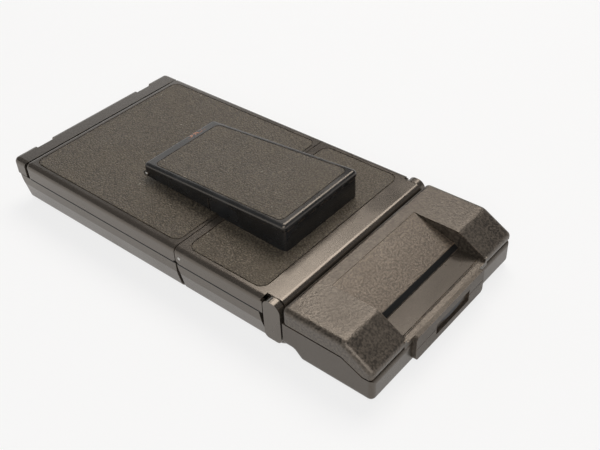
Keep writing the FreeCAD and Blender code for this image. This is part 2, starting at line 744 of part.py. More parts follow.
def block_top_shell():
    """Upper moulding with two pods and a sloping recess between them."""
    z_nose = block_top - pod_slope_drop
    corners = [(y_block_rear, part_line_rear), (y_block_rear, block_top), (y_pod_bend, block_top),
               (y_pod_nose, z_nose), (y_block_front, z_nose - 1.2), (y_block_front, part_line_front),
               (lower_break[1], part_line_front), (lower_break[0], part_line_rear)]
    shell = side_plate(corners, (-half_width, half_width))
    across = point(1, 0, 0)
    shell = softened(shell, block_edge, across, [point(0, y_block_rear, block_top)])
    shell = softened(shell, 6.0, across, [point(0, y_pod_bend, block_top)])
    shell = shell.makeFillet(block_edge, block_rim(shell, z_nose - 1.2, part_line_front, part_line_rear))
    recess = side_plate([(y_ramp_start, block_top + 1), (y_ramp_start, block_top),
                         (y_ramp_start, block_top - plate_thickness),
                         (y_ramp_end, z_ramp_end - plate_thickness), (y_ramp_end, z_ramp_end),
                         (y_plate_start, z_plate), (y_plate_start, z_plate - plate_thickness),
                         (y_plate_end, z_plate - plate_thickness), (y_plate_end, z_plate),
                         (y_plate_end - 0.8, z_plate - 0.3), (y_block_front - 1, z_plate - 0.8),
                         (y_block_front - 1, block_top + 1)], (-pod_inner, pod_inner))
    shell = shell.fuse(block_bridge(0)).cut(recess)
    # Two thin lines where strips are let into the rear top edge.
    for x in strip_x:
        line = block(x, (y_block_rear - strip_width, y_block_rear - strip_width + 0.3), (block_top - 0.6, block_top + 1))
        ends = [block((end - 0.15, end + 0.15), (y_block_rear - strip_width, y_block_rear + 1),
                      (block_top - 1.2, block_top + 1)) for end in x]
        shell = shell.cut([line] + ends)
    return shell.removeSplitter()


def block_rim(shell, z_front, low, high):
    """Edges round a block moulding: those of its sides, and those of its front, except at the part line."""
    edges = []
    for edge in shell.Edges:
        places = [v.Point for v in edge.Vertexes]
        at_side = all(abs(abs(p.x) - half_width) < 0.01 for p in places)
        at_front = all(abs(p.y - y_block_front) < 0.01 and abs(p.z - z_front) < 0.01 for p in places)
        at_part_line = all(low - 0.3 < p.z < high + 0.01 for p in places)
        behind = all(abs(p.y - y_block_rear) < 0.01 for p in places)
        if (at_side and not behind and not (at_part_line and abs(places[0].y - places[-1].y) > 0.1)) or at_front:
            edges.append(edge)
    return edges


def part_line_groove():
    """Open groove along the part line of the block."""
    outer = side_plate([(y_block_rear + 1, part_line_rear), (lower_break[0], part_line_rear),
                        (lower_break[1], part_line_front), (y_block_front - 1, part_line_front),
                        (y_block_front - 1, part_line_front - part_groove), (lower_break[1], part_line_front - part_groove),
                        (lower_break[0], part_line_rear - part_groove), (y_block_rear + 1, part_line_rear - part_groove)],
                       (-half_width - 1, half_width + 1))
    core = block((-half_width + 1, half_width - 1), (y_block_front + 1, y_block_rear - 1), (0, block_top))
    return outer.cut(core)


def block_bridge(gap):
    """Low middle part of the upper moulding, under the nameplate."""
    side = pod_inner + 1.5 + gap
    return block((-side, side), (y_block_front, y_ramp_end + 3 + gap), (part_line_front - gap, part_line_rear))


def step_strip():
    """Dark strip on the step between the ramp and the nameplate."""
    side = pod_inner - side_clearance
    slope = step_drop / step_length
    rise = seat_clearance
    low = (y_plate_start + 0.2, z_plate + 0.2 * slope + rise)
    high = (y_ramp_end - 0.2, z_ramp_end - 0.2 * slope + rise)
    return side_plate([low, (low[0], low[1] + 0.4), (high[0] - 0.2, high[1]), high], (-side, side))


def ramp_plate():
    """Textured plate on the slope of the recess."""
    side = pod_inner - side_clearance
    corners = [(y_ramp_start - side_clearance, block_top), (y_ramp_start - side_clearance, block_top - plate_thickness),
               (y_ramp_end, z_ramp_end - plate_thickness), (y_ramp_end, z_ramp_end)]
    return side_plate(corners, (-side, side))


def nameplate():
    """Smooth bare plate in front of the step."""
    side = pod_inner - side_clearance
    y = (y_plate_end + side_clearance, y_plate_start - side_clearance)
    return block((-side, side), y, (z_plate - plate_thickness, z_plate))


flash_x = (-half_width + 5, -3.0)
flash_y = (y_block_rear - 37.5, y_block_rear - 13.0)
ranger_place = (half_width / 2, y_block_rear - 25.2)
ranger_radius = 14.0


def block_lower_shell():
    """Lower moulding, which faces forward when the camera stands open."""
    gap = 0.1
    corners = [(y_block_rear, part_line_rear - gap), (lower_break[0], part_line_rear - gap),
               (lower_break[1], part_line_front - gap), (y_block_front, part_line_front - gap),
               (y_block_front, block_bottom), (y_block_rear - 9, block_bottom),
               (y_block_rear - 5, block_bottom + 3.8), (y_block_rear, block_bottom + 3.8)]
    shell = side_plate(corners, (-half_width, half_width))
    shell = shell.makeFillet(block_edge, block_rim(shell, block_bottom, part_line_front - gap, part_line_rear))
    shell = shell.cut(part_line_groove())
    room_top = part_line_front - gap
    room = block((-half_width + block_wall, half_width - block_wall),
                 (y_block_front + block_wall, y_block_rear - 9), (block_bottom + block_wall, room_top))
    shell = shell.cut(room.common(block((-60, 60), (y_block_front, y_block_rear), (0, room_top - 1.5))))
    shell = shell.cut(block_bridge(gap).common(block((-60, 60), (y_block_front - 1, y_block_rear), (0, block_top))))
    window = rounded_block(flash_x, flash_y, (block_bottom - 1, block_bottom + block_wall + 1), 1.5)
    shell = shell.cut(window)
    return shell.cut(post(ranger_radius, ranger_place[0], ranger_place[1],
                          (block_bottom - 1, block_bottom + block_wall + 1)))


def flash_window():
    inset = seat_clearance
    return rounded_block((flash_x[0] + inset, flash_x[1] - inset), (flash_y[0] + inset, flash_y[1] - inset),
                         (block_bottom + 0.4, block_bottom + block_wall), 1.5)


def flash_reflector():
    """Trough behind the flash window."""
    x = (flash_x[0] + 2, flash_x[1] - 2)
    y = (flash_y[0] + 2, flash_y[1] - 2)
    z = (block_bottom + block_wall + 0.1, block_bottom + block_wall + 7.0)
    trough = block(x, y, z)
    middle = (y[0] + y[1]) / 2
    hollow = rod(y[1] - middle - 0.8, (x[0] + 0.8, x[1] - 0.8), (middle, z[0] - 2.8))
    return trough.cut(hollow)


def flash_tube():
    middle = (flash_y[0] + flash_y[1]) / 2
    return rod(1.6, (flash_x[0] + 5, flash_x[1] - 5), (middle, block_bottom + block_wall + 2.6))


def ranger_disc():
    """Gold foil disc of the sonic rangefinder."""
    x, y = ranger_place
    return post(ranger_radius - 0.6, x, y, (block_bottom + 1.2, block_bottom + 4.0))


def ranger_grille():
    """Round grille in front of the rangefinder's disc."""
    x, y = ranger_place
    grille = post(ranger_radius - seat_clearance, x, y, (block_bottom + 0.3, block_bottom + 1.1))
    pitch = 3.4
    slot_width = 2.0
    slots = []
    for step in range(-3, 4):
        reach = math.sqrt((ranger_radius - 1.6) ** 2 - (abs(step * pitch) + slot_width / 2) ** 2)
        slots.append(block((x - reach, x + reach), (y + step * pitch - slot_width / 2, y + step * pitch + slot_width / 2),
                           (block_bottom, block_bottom + 2)))
    return grille.cut(slots)


def contact_boss():
    """Raised cover on the front face, with a shallow pocket."""
    x = (-boss_half_width, boss_half_width)
    y = (y_block_front - boss_height, y_block_front)
    plate = block(x, y, (boss_bottom, boss_top))
    corners = [point(a, 0, b) for a in x for b in (boss_bottom, boss_top)]
    plate = softened(plate, 1.8, point(0, 1, 0), corners)
    line = block((x[0] - 1, x[1] + 1), (y[0] - 1, y[0] + 0.3), (boss_line, boss_line + 0.3))
    return plate.cut([block(pocket_x, (y[0] - 1, y[0] + 1.4), pocket_z), line])


pocket_x = (-11.0, 14.0)
pocket_z = (6.2, 12.2)


def pocket_flap():
    """Dark leaf with a curved lower edge inside the pocket."""
    middle = (pocket_x[0] + pocket_x[1]) / 2
    y = (y_block_front - boss_height + 0.8, y_block_front - boss_height + 1.4)
    leaf = block((pocket_x[0] + 2, pocket_x[1] - 2), y, (pocket_z[0] + 0.8, pocket_z[1] - 0.4))
    curve = Part.makeCylinder(16.0, 4, point(middle, y[0] - 1, pocket_z[0] + 1.6 + 16.0), point(0, 1, 0))
    return leaf.common(curve)


# Viewfinder
y_finder_front = y_cover_front + finder_front_inset
y_finder_rear = y_finder_front + finder_length
finder_slope = (finder_front_height - finder_rear_height) / finder_length
cap_pivot = (y_finder_front + cap_pivot_inset, body_height + finder_front_height - finder_rim)
eyepiece_pivot = (y_finder_rear - eyepiece_pin_inset, body_height + eyepiece_pin_height)


def finder_top(y):
    """Height of the finder's top plane at a place along it."""
    return body_height + finder_front_height - finder_slope * (y - y_finder_front)


def finder_width(y):
    """Half-width of the finder at a place along it."""
    share = (y - y_finder_front) / finder_length
    return finder_front_half_width + share * (finder_rear_half_width - finder_front_half_width)


def finder_plan(y, inset, z):
    """Tapering plan of the finder, drawn in by an inset at the sides."""
    front = finder_width(y[0]) - inset
    rear = finder_width(y[1]) - inset
    return plan_plate([(-front, y[0]), (front, y[0]), (rear, y[1]), (-rear, y[1])], z)


def under_top(y, drop, low):
    """Everything under a plane that lies a drop below the finder's top."""
    return side_plate([(y[0], low), (y[1], low), (y[1], finder_top(y[1]) - drop), (y[0], finder_top(y[0]) - drop)],
                      (-40, 40))


finder_split_y = y_seam + finder_split
cap_lug_x = (19.6, 21.2)
base_lug_x = (21.4, 23.4)


def finder_cap():
    """Lid with a thin rim in front and deep side skirts behind."""
    y = (y_finder_front, y_finder_rear)
    cap = finder_plan(y, 0, (body_height + finder_underside, body_height + 20)).common(under_top(y, 0, 0))
    cap = softened(cap, finder_corner, point(0, 0, 1), finder_corners(y, 0))
    edges = []
    for edge in cap.Edges:
        if all(abs(finder_top(v.Point.y) - v.Point.z) < 0.01 for v in edge.Vertexes):
            edges.append(edge)
    cap = cap.makeFillet(1.8, edges)
    room = finder_plan((y[0] + finder_wall, y[1] - finder_wall), finder_wall, (body_height, body_height + 20))
    cap = cap.cut(room.common(under_top((y[0] - 1, y[1] + 1), finder_ceiling, 0)))
    # The rim is shallow ahead of the split.
    cap = cap.cut(under_top((y[0] - 1, finder_split_y), finder_rim, 0))
    # The thin end is raised behind.
    end = block((-40, 40), (y[1] - finder_wall - 0.2, y[1] + 1), (body_height, body_height + eyepiece_pin_height))
    cap = cap.cut(end)
    pocket_y = (y[0] + 3.8, y[1] - 5.5)
    pocket = finder_plan(pocket_y, 2.4, (body_height, body_height + 20)).cut(under_top((y[0], y[1]), 0.5, 0))
    pocket = softened(pocket, 3.0, point(0, 0, 1), finder_corners(pocket_y, 2.4))
    cap = cap.cut(pocket)
    # Hinge lugs in front, with room for the base's lugs, and pin holes behind.
    lug_room = rod(cap_lug_radius + side_clearance, (cap_lug_x[0] - 0.4, base_lug_x[1] + 0.4), cap_pivot)
    cap = without_both(cap, lug_room)
    lug = rod(cap_lug_radius, cap_lug_x, cap_pivot)
    web_top = finder_top(cap_pivot[0]) - finder_ceiling + 0.3
    lug = lug.fuse(block(cap_lug_x, (cap_pivot[0], cap_pivot[0] + cap_lug_radius), (cap_pivot[1], web_top)))
    lug = lug.cut(rod(cap_pin_radius + pin_clearance, (15, 30), cap_pivot))
    cap = with_both(cap, lug)
    barrel_room = rod(eyepiece_barrel_radius + side_clearance, (-flap_half_width - 0.4, flap_half_width + 0.4), eyepiece_pivot)
    return cap.cut([rod(finder_pin_radius + seat_clearance, (-40, 40), eyepiece_pivot), barrel_room])


def finder_corners(y, inset):
    spots = []
    for place in y:
        side = finder_width(place) - inset
        spots = spots + [point(-side, place, 0), point(side, place, 0)]
    return spots


def finder_leather():
    y = (y_finder_front + 4.2, y_finder_rear - 5.9)
    whole = (y_finder_front, y_finder_rear)
    panel = finder_plan(y, 2.8, (body_height, body_height + 20)).cut(under_top(whole, 0.5, 0))
    panel = softened(panel, 2.6, point(0, 0, 1), finder_corners(y, 2.8))
    return panel.common(under_top(whole, 0.0, 0))


def finder_base():
    """Open box on the front cover, under the front of the cap."""
    inset = 0.35
    y = (y_finder_front + 0.2, finder_split_y - 0.4)
    outer = finder_plan(y, inset, (body_height, body_height + 20))
    outer = softened(outer, finder_corner, point(0, 0, 1), finder_corners((y[0],), inset))
    inner = finder_plan((y[0] + finder_wall, y[1] + 1), inset + finder_wall, (body_height - 1, body_height + 21))
    walls = outer.cut(inner).common(under_top((y[0] - 1, y[1] + 1), finder_rim + 0.2, 0))
    overhang = block((-40, 40), (front_cover_start - 0.3, y[1] + 1), (body_height - 1, body_height + 1.0))
    walls = walls.cut(overhang)
    swing_room = block((-40, 40), (y[0] - 1, cap_pivot[0] + 1), (cap_pivot[1] - cap_swing_gap, cap_pivot[1] + 5))
    walls = walls.cut(swing_room)
    cap_lug_room = rod(cap_lug_radius + side_clearance, (cap_lug_x[0] - side_clearance, cap_lug_x[1] + side_clearance),
                       cap_pivot)
    walls = without_both(walls, cap_lug_room)
    lug = rod(cap_lug_radius, base_lug_x, cap_pivot).fuse(
        block(base_lug_x, (cap_pivot[0] - 0.6, cap_pivot[0] + cap_lug_radius), (body_height + 6, cap_pivot[1])))
    lug = lug.common(finder_plan((y[0], y[1]), inset + 0.2, (body_height, body_height + 20)))
    lug = lug.cut(rod(cap_pin_radius + seat_clearance, (15, 30), cap_pivot))
    return with_both(walls, lug)


def cap_pins():
    return pair(rod(cap_pin_radius, (cap_lug_x[0] - 0.2, base_lug_x[0] + 1.6), cap_pivot))


def finder_mirror():
    """Curved mirror under the thick end of the cap."""
    y = (y_finder_front + 6, y_finder_front + 30)
    plate = finder_plan(y, 6.5, (body_height, body_height + 20))
    plate = plate.common(under_top((y[0] - 1, y[1] + 1), finder_ceiling, 0))
    plate = plate.cut(under_top((y[0] - 1, y[1] + 1), finder_ceiling + 2.0, 0))
    bowl = Part.makeSphere(120.0, point(0, (y[0] + y[1]) / 2, finder_top(y[0]) - finder_ceiling - 1.6 - 120.0))
    return plate.cut(bowl)


def eyepiece_pin():
    reach = finder_width(eyepiece_pivot[0]) + 0.3
    return rod(finder_pin_radius, (-reach, reach), eyepiece_pivot)


def eyepiece_frame():
    """Flap that hangs from the thin end and carries the eye lens."""
    y, z = eyepiece_pivot
    width = (-flap_half_width, flap_half_width)
    flap = rounded_block(width, (y - eyepiece_length, y), (z - 0.9, z + 0.7), 1.5)
    flap = flap.fuse(rod(eyepiece_barrel_radius, width, eyepiece_pivot))
    window = rounded_block((-12, 12), (y - 27, y - 9), (z - 3, z + 3), 2)
    light_way = rounded_block((-15, 15), (y - eyepiece_length + 6, y - 31), (z - 3, z + 3), 2)
    flap = flap.cut([window, light_way])
    return flap.cut(rod(finder_pin_radius + pin_clearance, (-30, 30), eyepiece_pivot))


def eye_lens():
    y, z = eyepiece_pivot
    inset = seat_clearance
    return rounded_block((-12 + inset, 12 - inset), (y - 27 + inset, y - 9 - inset), (z - 0.7, z + 0.5), 2 - inset)


# Bellows between the covers and the base
def bellows():
    """Folded light-tight bag under the covers."""
    top = body_height - cover_top - 1.6
    side = base_inner_half - 0.8
    y = (y_seam + 13, y_rear_seam - 16)
    z_low = z_carrier + carrier_thickness + 0.3
    ring = block((-side, side), y, (z_low, top))
    return ring.cut(block((-side + 5, side - 5), (y[0] - 1, y[1] - 6), (z_low - 1, top + 1)))


nodes = {
    "rear_cover": rear_cover_shell,
    "rear_leather": lambda: leather_panel(rear_leather_y),
    "viewing_mirror": viewing_mirror,
    "rear_hinge_pins": rear_pins,
    "apex_hinge_pins": apex_pins,
    "front_cover": front_cover_shell,
    "front_leather": lambda: leather_panel(front_leather_y),
    "front_hinge_pins": front_pins,
    "base_tray": base_tray,
    "tripod_bush": tripod_bush,
    "rear_end_piece": rear_end_piece,
    "rear_wall_pad": rear_wall_pad,
    "standard_arms": standard_arms,
    "film_pack": film_pack,
    "dark_slide": dark_slide,
    "pack_spring": pack_spring,
    "screen_carrier": screen_carrier,
    "focusing_screen": focusing_screen,
    "bellows": bellows,
    "film_door": film_door,
    "roller_brackets": roller_brackets,
    "lower_roller": lambda: film_roller(roller_centres()[0]),
    "upper_roller": lambda: film_roller(roller_centres()[1]),
    "standard_frame": standard_frame,
    "standard_housing": standard_housing,
    "lens_barrel": lens_barrel,
    "lens_ring": lens_ring,
    "front_lens": front_lens,
    "shutter_button": shutter_button,
    "focus_wheel": focus_wheel,
    "wheel_axle": wheel_axle,
    "light_eye": light_eye,
    "block_top_shell": block_top_shell,
    "block_lower_shell": block_lower_shell,
    "ramp_plate": ramp_plate,
    "step_strip": step_strip,
    "nameplate": nameplate,
    "flash_window": flash_window,
    "flash_reflector": flash_reflector,
    "flash_tube": flash_tube,
    "ranger_disc": ranger_disc,
    "ranger_grille": ranger_grille,
    "contact_boss": contact_boss,
    "pocket_flap": pocket_flap,
    "finder_cap": finder_cap,
    "finder_leather": finder_leather,
    "finder_base": finder_base,
    "finder_cap_pins": cap_pins,
    "finder_mirror": finder_mirror,
    "eyepiece_pin": eyepiece_pin,
    "eyepiece_frame": eyepiece_frame,
    "eye_lens": eye_lens,
}

os.makedirs("parts", exist_ok=True)
for node, make in nodes.items():
    make().exportStep("parts/" + node + ".step")
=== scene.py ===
# %% [markdown]
# # A folding instant camera, lying closed
# This script dresses a finished CAD model. The CAD parts already have their real sizes and places,
# so the work here is surfaces, one soft part, a few small fittings, light and a camera.
# First the frame is loaded.

import json
import math

import bmesh
import bpy
from mathutils import Matrix, Vector
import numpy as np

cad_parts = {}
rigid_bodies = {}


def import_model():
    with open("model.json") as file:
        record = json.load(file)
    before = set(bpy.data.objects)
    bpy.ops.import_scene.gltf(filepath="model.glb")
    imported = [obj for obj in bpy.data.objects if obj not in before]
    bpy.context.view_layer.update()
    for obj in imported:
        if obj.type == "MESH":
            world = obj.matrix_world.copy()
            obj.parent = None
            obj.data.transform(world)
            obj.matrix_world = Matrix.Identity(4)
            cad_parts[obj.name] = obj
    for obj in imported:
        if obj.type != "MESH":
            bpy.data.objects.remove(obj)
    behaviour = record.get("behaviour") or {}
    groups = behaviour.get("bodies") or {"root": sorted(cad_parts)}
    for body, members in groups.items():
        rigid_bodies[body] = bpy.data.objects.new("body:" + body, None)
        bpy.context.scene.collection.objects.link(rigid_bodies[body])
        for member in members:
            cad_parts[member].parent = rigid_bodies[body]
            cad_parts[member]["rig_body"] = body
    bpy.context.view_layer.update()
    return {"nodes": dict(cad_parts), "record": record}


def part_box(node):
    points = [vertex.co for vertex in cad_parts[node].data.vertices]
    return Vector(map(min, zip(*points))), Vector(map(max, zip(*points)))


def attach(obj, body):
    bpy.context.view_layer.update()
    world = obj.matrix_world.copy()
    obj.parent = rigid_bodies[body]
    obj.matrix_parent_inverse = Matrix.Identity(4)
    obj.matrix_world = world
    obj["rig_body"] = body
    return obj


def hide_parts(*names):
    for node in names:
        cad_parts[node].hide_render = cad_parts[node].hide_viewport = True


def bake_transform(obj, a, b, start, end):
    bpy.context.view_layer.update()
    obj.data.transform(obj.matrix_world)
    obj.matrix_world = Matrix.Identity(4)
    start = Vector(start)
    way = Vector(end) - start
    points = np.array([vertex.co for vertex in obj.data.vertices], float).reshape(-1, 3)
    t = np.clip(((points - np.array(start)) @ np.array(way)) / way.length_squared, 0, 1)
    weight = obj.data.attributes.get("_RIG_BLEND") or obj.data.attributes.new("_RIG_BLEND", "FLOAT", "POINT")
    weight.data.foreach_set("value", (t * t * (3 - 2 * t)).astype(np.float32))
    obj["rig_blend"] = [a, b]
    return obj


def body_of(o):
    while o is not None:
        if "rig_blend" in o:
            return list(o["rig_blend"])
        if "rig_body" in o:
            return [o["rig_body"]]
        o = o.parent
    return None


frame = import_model()
MM = 0.001

# %% [markdown]
# The view is that of the photograph: from the front left, looking down at about 39 degrees.
# A direction made from two angles is easier to correct than three numbers for a place,
# and a small roll about the line of sight stands for a hand that wasn't quite level.

# %% Camera
AZIMUTH = math.radians(-48.409)
ELEVATION = math.radians(39.076)
ROLL = math.radians(-2.979)
LOOK_AT = Vector((15.78, -17.08, 0.0)) * MM
DISTANCE = 415.6 * MM
LENS = 51.49
SENSOR_WIDTH = 36.0

back = Vector((math.sin(AZIMUTH) * math.cos(ELEVATION),
               -math.cos(AZIMUTH) * math.cos(ELEVATION),
               math.sin(ELEVATION)))
level_right = Vector((0, 0, 1)).cross(back).normalized()
level_up = back.cross(level_right)
right = level_right * math.cos(ROLL) + level_up * math.sin(ROLL)
up = level_up * math.cos(ROLL) - level_right * math.sin(ROLL)

camera_data = bpy.data.cameras.new("camera")
camera_data.lens = LENS
camera_data.sensor_width = SENSOR_WIDTH
camera_data.clip_start = 10 * MM
camera = bpy.data.objects.new("camera", camera_data)
camera.rotation_mode = "QUATERNION"
camera.rotation_quaternion = Matrix((right, up, back)).transposed().to_quaternion()
camera.location = LOOK_AT + back * DISTANCE
bpy.context.scene.collection.objects.link(camera)
bpy.context.scene.camera = camera
print("camera at", [round(v, 4) for v in camera.location])

# %% [markdown]
# Nearly every finish below is built from the same few steps: noise at some size, a range picked out of it,
# a mix of two colours, and a bump. Wiring these by hand each time would hide what a finish is about,
# so each step gets a small helper that returns the socket to carry on with.
# All textures use object coordinates. The CAD parts sit at the origin,
# so these are real metres on the object, and a grain can be given its true size.

# %% Helpers for wiring
def new_finish(name, colour, roughness, specular=0.5, metallic=0.0):
    finish = bpy.data.materials.new(name)
    finish.use_nodes = True
    shader = finish.node_tree.nodes["Principled BSDF"]
    shader.inputs["Base Color"].default_value = (*colour, 1)
    shader.inputs["Roughness"].default_value = roughness
    shader.inputs["Specular IOR Level"].default_value = specular
    shader.inputs["Metallic"].default_value = metallic
    return finish


def principled(finish):
    return finish.node_tree.nodes["Principled BSDF"]


def add_node(finish, kind):
    return finish.node_tree.nodes.new(kind)


def connect(finish, source, target):
    finish.node_tree.links.new(source, target)


def feed(finish, value, socket):
    """A socket is linked, and a plain number or colour is written in."""
    if isinstance(value, bpy.types.NodeSocket):
        connect(finish, value, socket)
    else:
        socket.default_value = value


print("wiring helpers ready")

# %% [markdown]
# Noise comes in two kinds here. Cloudy noise suits smudges and fine sand.
# Voronoi cells suit leather cloth, whose surface is a field of small pebbles with valleys between them.
# The cells are first pushed about by a little cloudy noise,
# because straight cell walls look like crazed glass.

# %% Helpers for noise
def noise(finish, size, detail=2.0, stretch=(1, 1, 1)):
    """Cloudy noise with blobs about size metres wide, 0 to 1 with its middle at a half."""
    place = add_node(finish, "ShaderNodeTexCoord")
    scaled = add_node(finish, "ShaderNodeMapping")
    scaled.inputs["Scale"].default_value = [s / size for s in stretch]
    connect(finish, place.outputs["Object"], scaled.inputs["Vector"])
    texture = add_node(finish, "ShaderNodeTexNoise")
    texture.inputs["Scale"].default_value = 1.0
    texture.inputs["Detail"].default_value = detail
    connect(finish, scaled.outputs["Vector"], texture.inputs["Vector"])
    return texture.outputs["Fac"]


def pebbles(finish, size, wobble=0.35):
    """Distance from the nearest valley: 0 in the valleys, about a half on top of a pebble."""
    place = add_node(finish, "ShaderNodeTexCoord")
    shaken = add_node(finish, "ShaderNodeTexNoise")
    shaken.inputs["Scale"].default_value = 1.3 / size
    connect(finish, place.outputs["Object"], shaken.inputs["Vector"])
    push = add_node(finish, "ShaderNodeVectorMath")
    push.operation = "MULTIPLY_ADD"
    connect(finish, shaken.outputs["Color"], push.inputs[0])
    push.inputs[1].default_value = [wobble * size] * 3
    connect(finish, place.outputs["Object"], push.inputs[2])
    cells = add_node(finish, "ShaderNodeTexVoronoi")
    cells.feature = "DISTANCE_TO_EDGE"
    cells.inputs["Scale"].default_value = 1 / size
    connect(finish, push.outputs["Vector"], cells.inputs["Vector"])
    return cells.outputs["Distance"]


print("noise helpers ready")

# %% [markdown]
# A range node turns raw noise into a mask, and a mix node lays one colour over another by that mask.
# Two masks multiplied leave only what both of them hold.

# %% Helpers for masks and colours
def pick(finish, value, start, end, low=0.0, high=1.0):
    """start to end of value becomes low to high, and it stays there beyond both ends."""
    node = add_node(finish, "ShaderNodeMapRange")
    connect(finish, value, node.inputs["Value"])
    node.inputs["From Min"].default_value = start
    node.inputs["From Max"].default_value = end
    node.inputs["To Min"].default_value = low
    node.inputs["To Max"].default_value = high
    return node.outputs["Result"]


def times(finish, first, second):
    node = add_node(finish, "ShaderNodeMath")
    node.operation = "MULTIPLY"
    feed(finish, first, node.inputs[0])
    feed(finish, second, node.inputs[1])
    return node.outputs["Value"]


def lay_over(finish, mask, below, above):
    """Colour above over colour below, where the mask is 1."""
    node = add_node(finish, "ShaderNodeMix")
    node.data_type = "RGBA"
    connect(finish, mask, node.inputs["Factor"])
    feed(finish, below, node.inputs[6])
    feed(finish, above, node.inputs[7])
    return node.outputs[2]


def shade(colour, factor):
    """The same colour, lighter or darker, as the four numbers a socket takes."""
    return (*[c * factor for c in colour], 1)


print("mask helpers ready")

# %% [markdown]
# A bump node tilts the surface a little, as real grain would. Moving the surface itself would take
# millions of faces for a grain under a millimetre. The bumps are chained, so a finish can have two at once.

# %% Helpers for bumps and base colour
def emboss(finish, height, strength, depth):
    """Adds a bump on top of those that the finish already has."""
    bump = add_node(finish, "ShaderNodeBump")
    bump.inputs["Strength"].default_value = strength
    bump.inputs["Distance"].default_value = depth
    connect(finish, height, bump.inputs["Height"])
    socket = principled(finish).inputs["Normal"]
    if socket.is_linked:
        connect(finish, socket.links[0].from_socket, bump.inputs["Normal"])
    connect(finish, bump.outputs["Normal"], socket)


def paint(finish, colour):
    connect(finish, colour, principled(finish).inputs["Base Color"])


def vary_roughness(finish, value, start, end, low, high):
    rough = pick(finish, value, start, end, low, high)
    connect(finish, rough, principled(finish).inputs["Roughness"])


print("bump helpers ready")

# %% [markdown]
# Handling wears the black off the sharp edges first, and warm brown plastic shows through.
# Painting that by hand would need an image. The Bevel node gives it for nothing:
# it returns the normal that the surface would have if its edges were rounded,
# so wherever it differs from the real normal there is an edge. Noise then breaks the line up.

# %% Worn edges
EDGE_REACH = 0.45 * MM
EDGE_START = 0.95
EDGE_FULL = 0.78
WORN_PATCH = 4.0 * MM


def worn_edges(finish, colour, worn_colour, amount):
    """Lays a worn colour over the edges, in patches, and returns the new colour."""
    rounded = add_node(finish, "ShaderNodeBevel")
    rounded.samples = 4
    rounded.inputs["Radius"].default_value = EDGE_REACH
    surface = add_node(finish, "ShaderNodeNewGeometry")
    compare = add_node(finish, "ShaderNodeVectorMath")
    compare.operation = "DOT_PRODUCT"
    connect(finish, rounded.outputs["Normal"], compare.inputs[0])
    connect(finish, surface.outputs["Normal"], compare.inputs[1])
    edge = pick(finish, compare.outputs["Value"], EDGE_START, EDGE_FULL)
    patches = pick(finish, noise(finish, WORN_PATCH, 4.0), 0.42, 0.62, 0.0, amount)
    return lay_over(finish, times(finish, edge, patches), colour, (*worn_colour, 1))


print("edges wear within", EDGE_REACH / MM, "mm")

# %% [markdown]
# The lower body, both covers and the strips are a smooth, slightly silky black plastic with a warm tint.
# A single black would look like a hole in the picture, so three things vary:
# a fine sand in the bump, clouds of finger grease in the roughness, and a faint change of tone.
# The refractive index is set above that of plain plastic, because the real moulding has a metallic sheen.

# %% Satin plastic
WARM_SHEEN = (1.0, 0.87, 0.74, 1)
SATIN = (0.034, 0.029, 0.024)
SHADED_SATIN = (0.030, 0.025, 0.020)
WORN_BROWN = (0.17, 0.115, 0.07)
SAND = 0.5 * MM
GREASE_CLOUD = 22 * MM


def satin_plastic(name, colour, roughness, specular, index):
    finish = new_finish(name, colour, roughness, specular)
    shader = principled(finish)
    shader.inputs["IOR"].default_value = index
    shader.inputs["Specular Tint"].default_value = WARM_SHEEN
    sand = noise(finish, SAND)
    clouds = noise(finish, GREASE_CLOUD, 4.0)
    tone = lay_over(finish, pick(finish, sand, 0.35, 0.65), shade(colour, 0.7), shade(colour, 1.3))
    paint(finish, worn_edges(finish, tone, WORN_BROWN, 0.5))
    vary_roughness(finish, clouds, 0.35, 0.7, roughness - 0.05, roughness + 0.06)
    emboss(finish, sand, 0.22, 0.06 * MM)
    return finish


satin_black = satin_plastic("satin_black", SATIN, roughness=0.24, specular=0.85, index=1.66)
# The lower shell takes a darker copy of the same satin, which is painted shade.
lower_satin = satin_plastic("lower_satin", SHADED_SATIN, roughness=0.32, specular=0.8, index=1.6)
print("finishes:", satin_black.name, lower_satin.name)

# %% [markdown]
# The front block is moulded in the same black but with an eroded texture, like fine sandpaper.
# It could be real displacement, but the grain is under a millimetre, so a bump is enough.
# The tips of the grain are painted lighter and the pits painted darker, a painted highlight and painted
# shade from the same noise that drives the bump.

# %% Pebbled plastic
PEBBLED = (0.036, 0.030, 0.024)
RAMP_BLACK = (0.056, 0.044, 0.033)
BOSS_BLACK = (0.028, 0.023, 0.018)
PEBBLED_INDEX = 1.54
PALM_CLOUD = 18 * MM


def pebbled_plastic(name, colour, grain_size, roughness, relief):
    finish = new_finish(name, colour, roughness, specular=0.9)
    shader = principled(finish)
    shader.inputs["IOR"].default_value = PEBBLED_INDEX
    shader.inputs["Specular Tint"].default_value = WARM_SHEEN
    grain = noise(finish, grain_size, 3.0)
    clouds = noise(finish, PALM_CLOUD, 3.0)
    # Painted highlight on the grain tips and painted shade in the pits.
    tips = pick(finish, grain, 0.38, 0.64)
    grain_lit_and_shaded = lay_over(finish, tips, shade(colour, 0.2), shade(colour, 2.3))
    palm_marks = pick(finish, clouds, 0.4, 0.75, 0.0, 0.35)
    greasy = lay_over(finish, palm_marks, grain_lit_and_shaded, shade(colour, 1.5))
    paint(finish, worn_edges(finish, greasy, WORN_BROWN, 0.7))
    vary_roughness(finish, clouds, 0.35, 0.7, roughness - 0.04, roughness + 0.06)
    emboss(finish, grain, relief, 0.2 * MM)
    return finish


pebbled_black = pebbled_plastic("pebbled_black", PEBBLED, 1.0 * MM, roughness=0.38, relief=0.75)
ramp_black = pebbled_plastic("ramp_black", RAMP_BLACK, 0.9 * MM, roughness=0.37, relief=0.5)
boss_black = pebbled_plastic("boss_black", BOSS_BLACK, 0.7 * MM, roughness=0.52, relief=0.4)
print("finishes:", pebbled_black.name, ramp_black.name, boss_black.name)
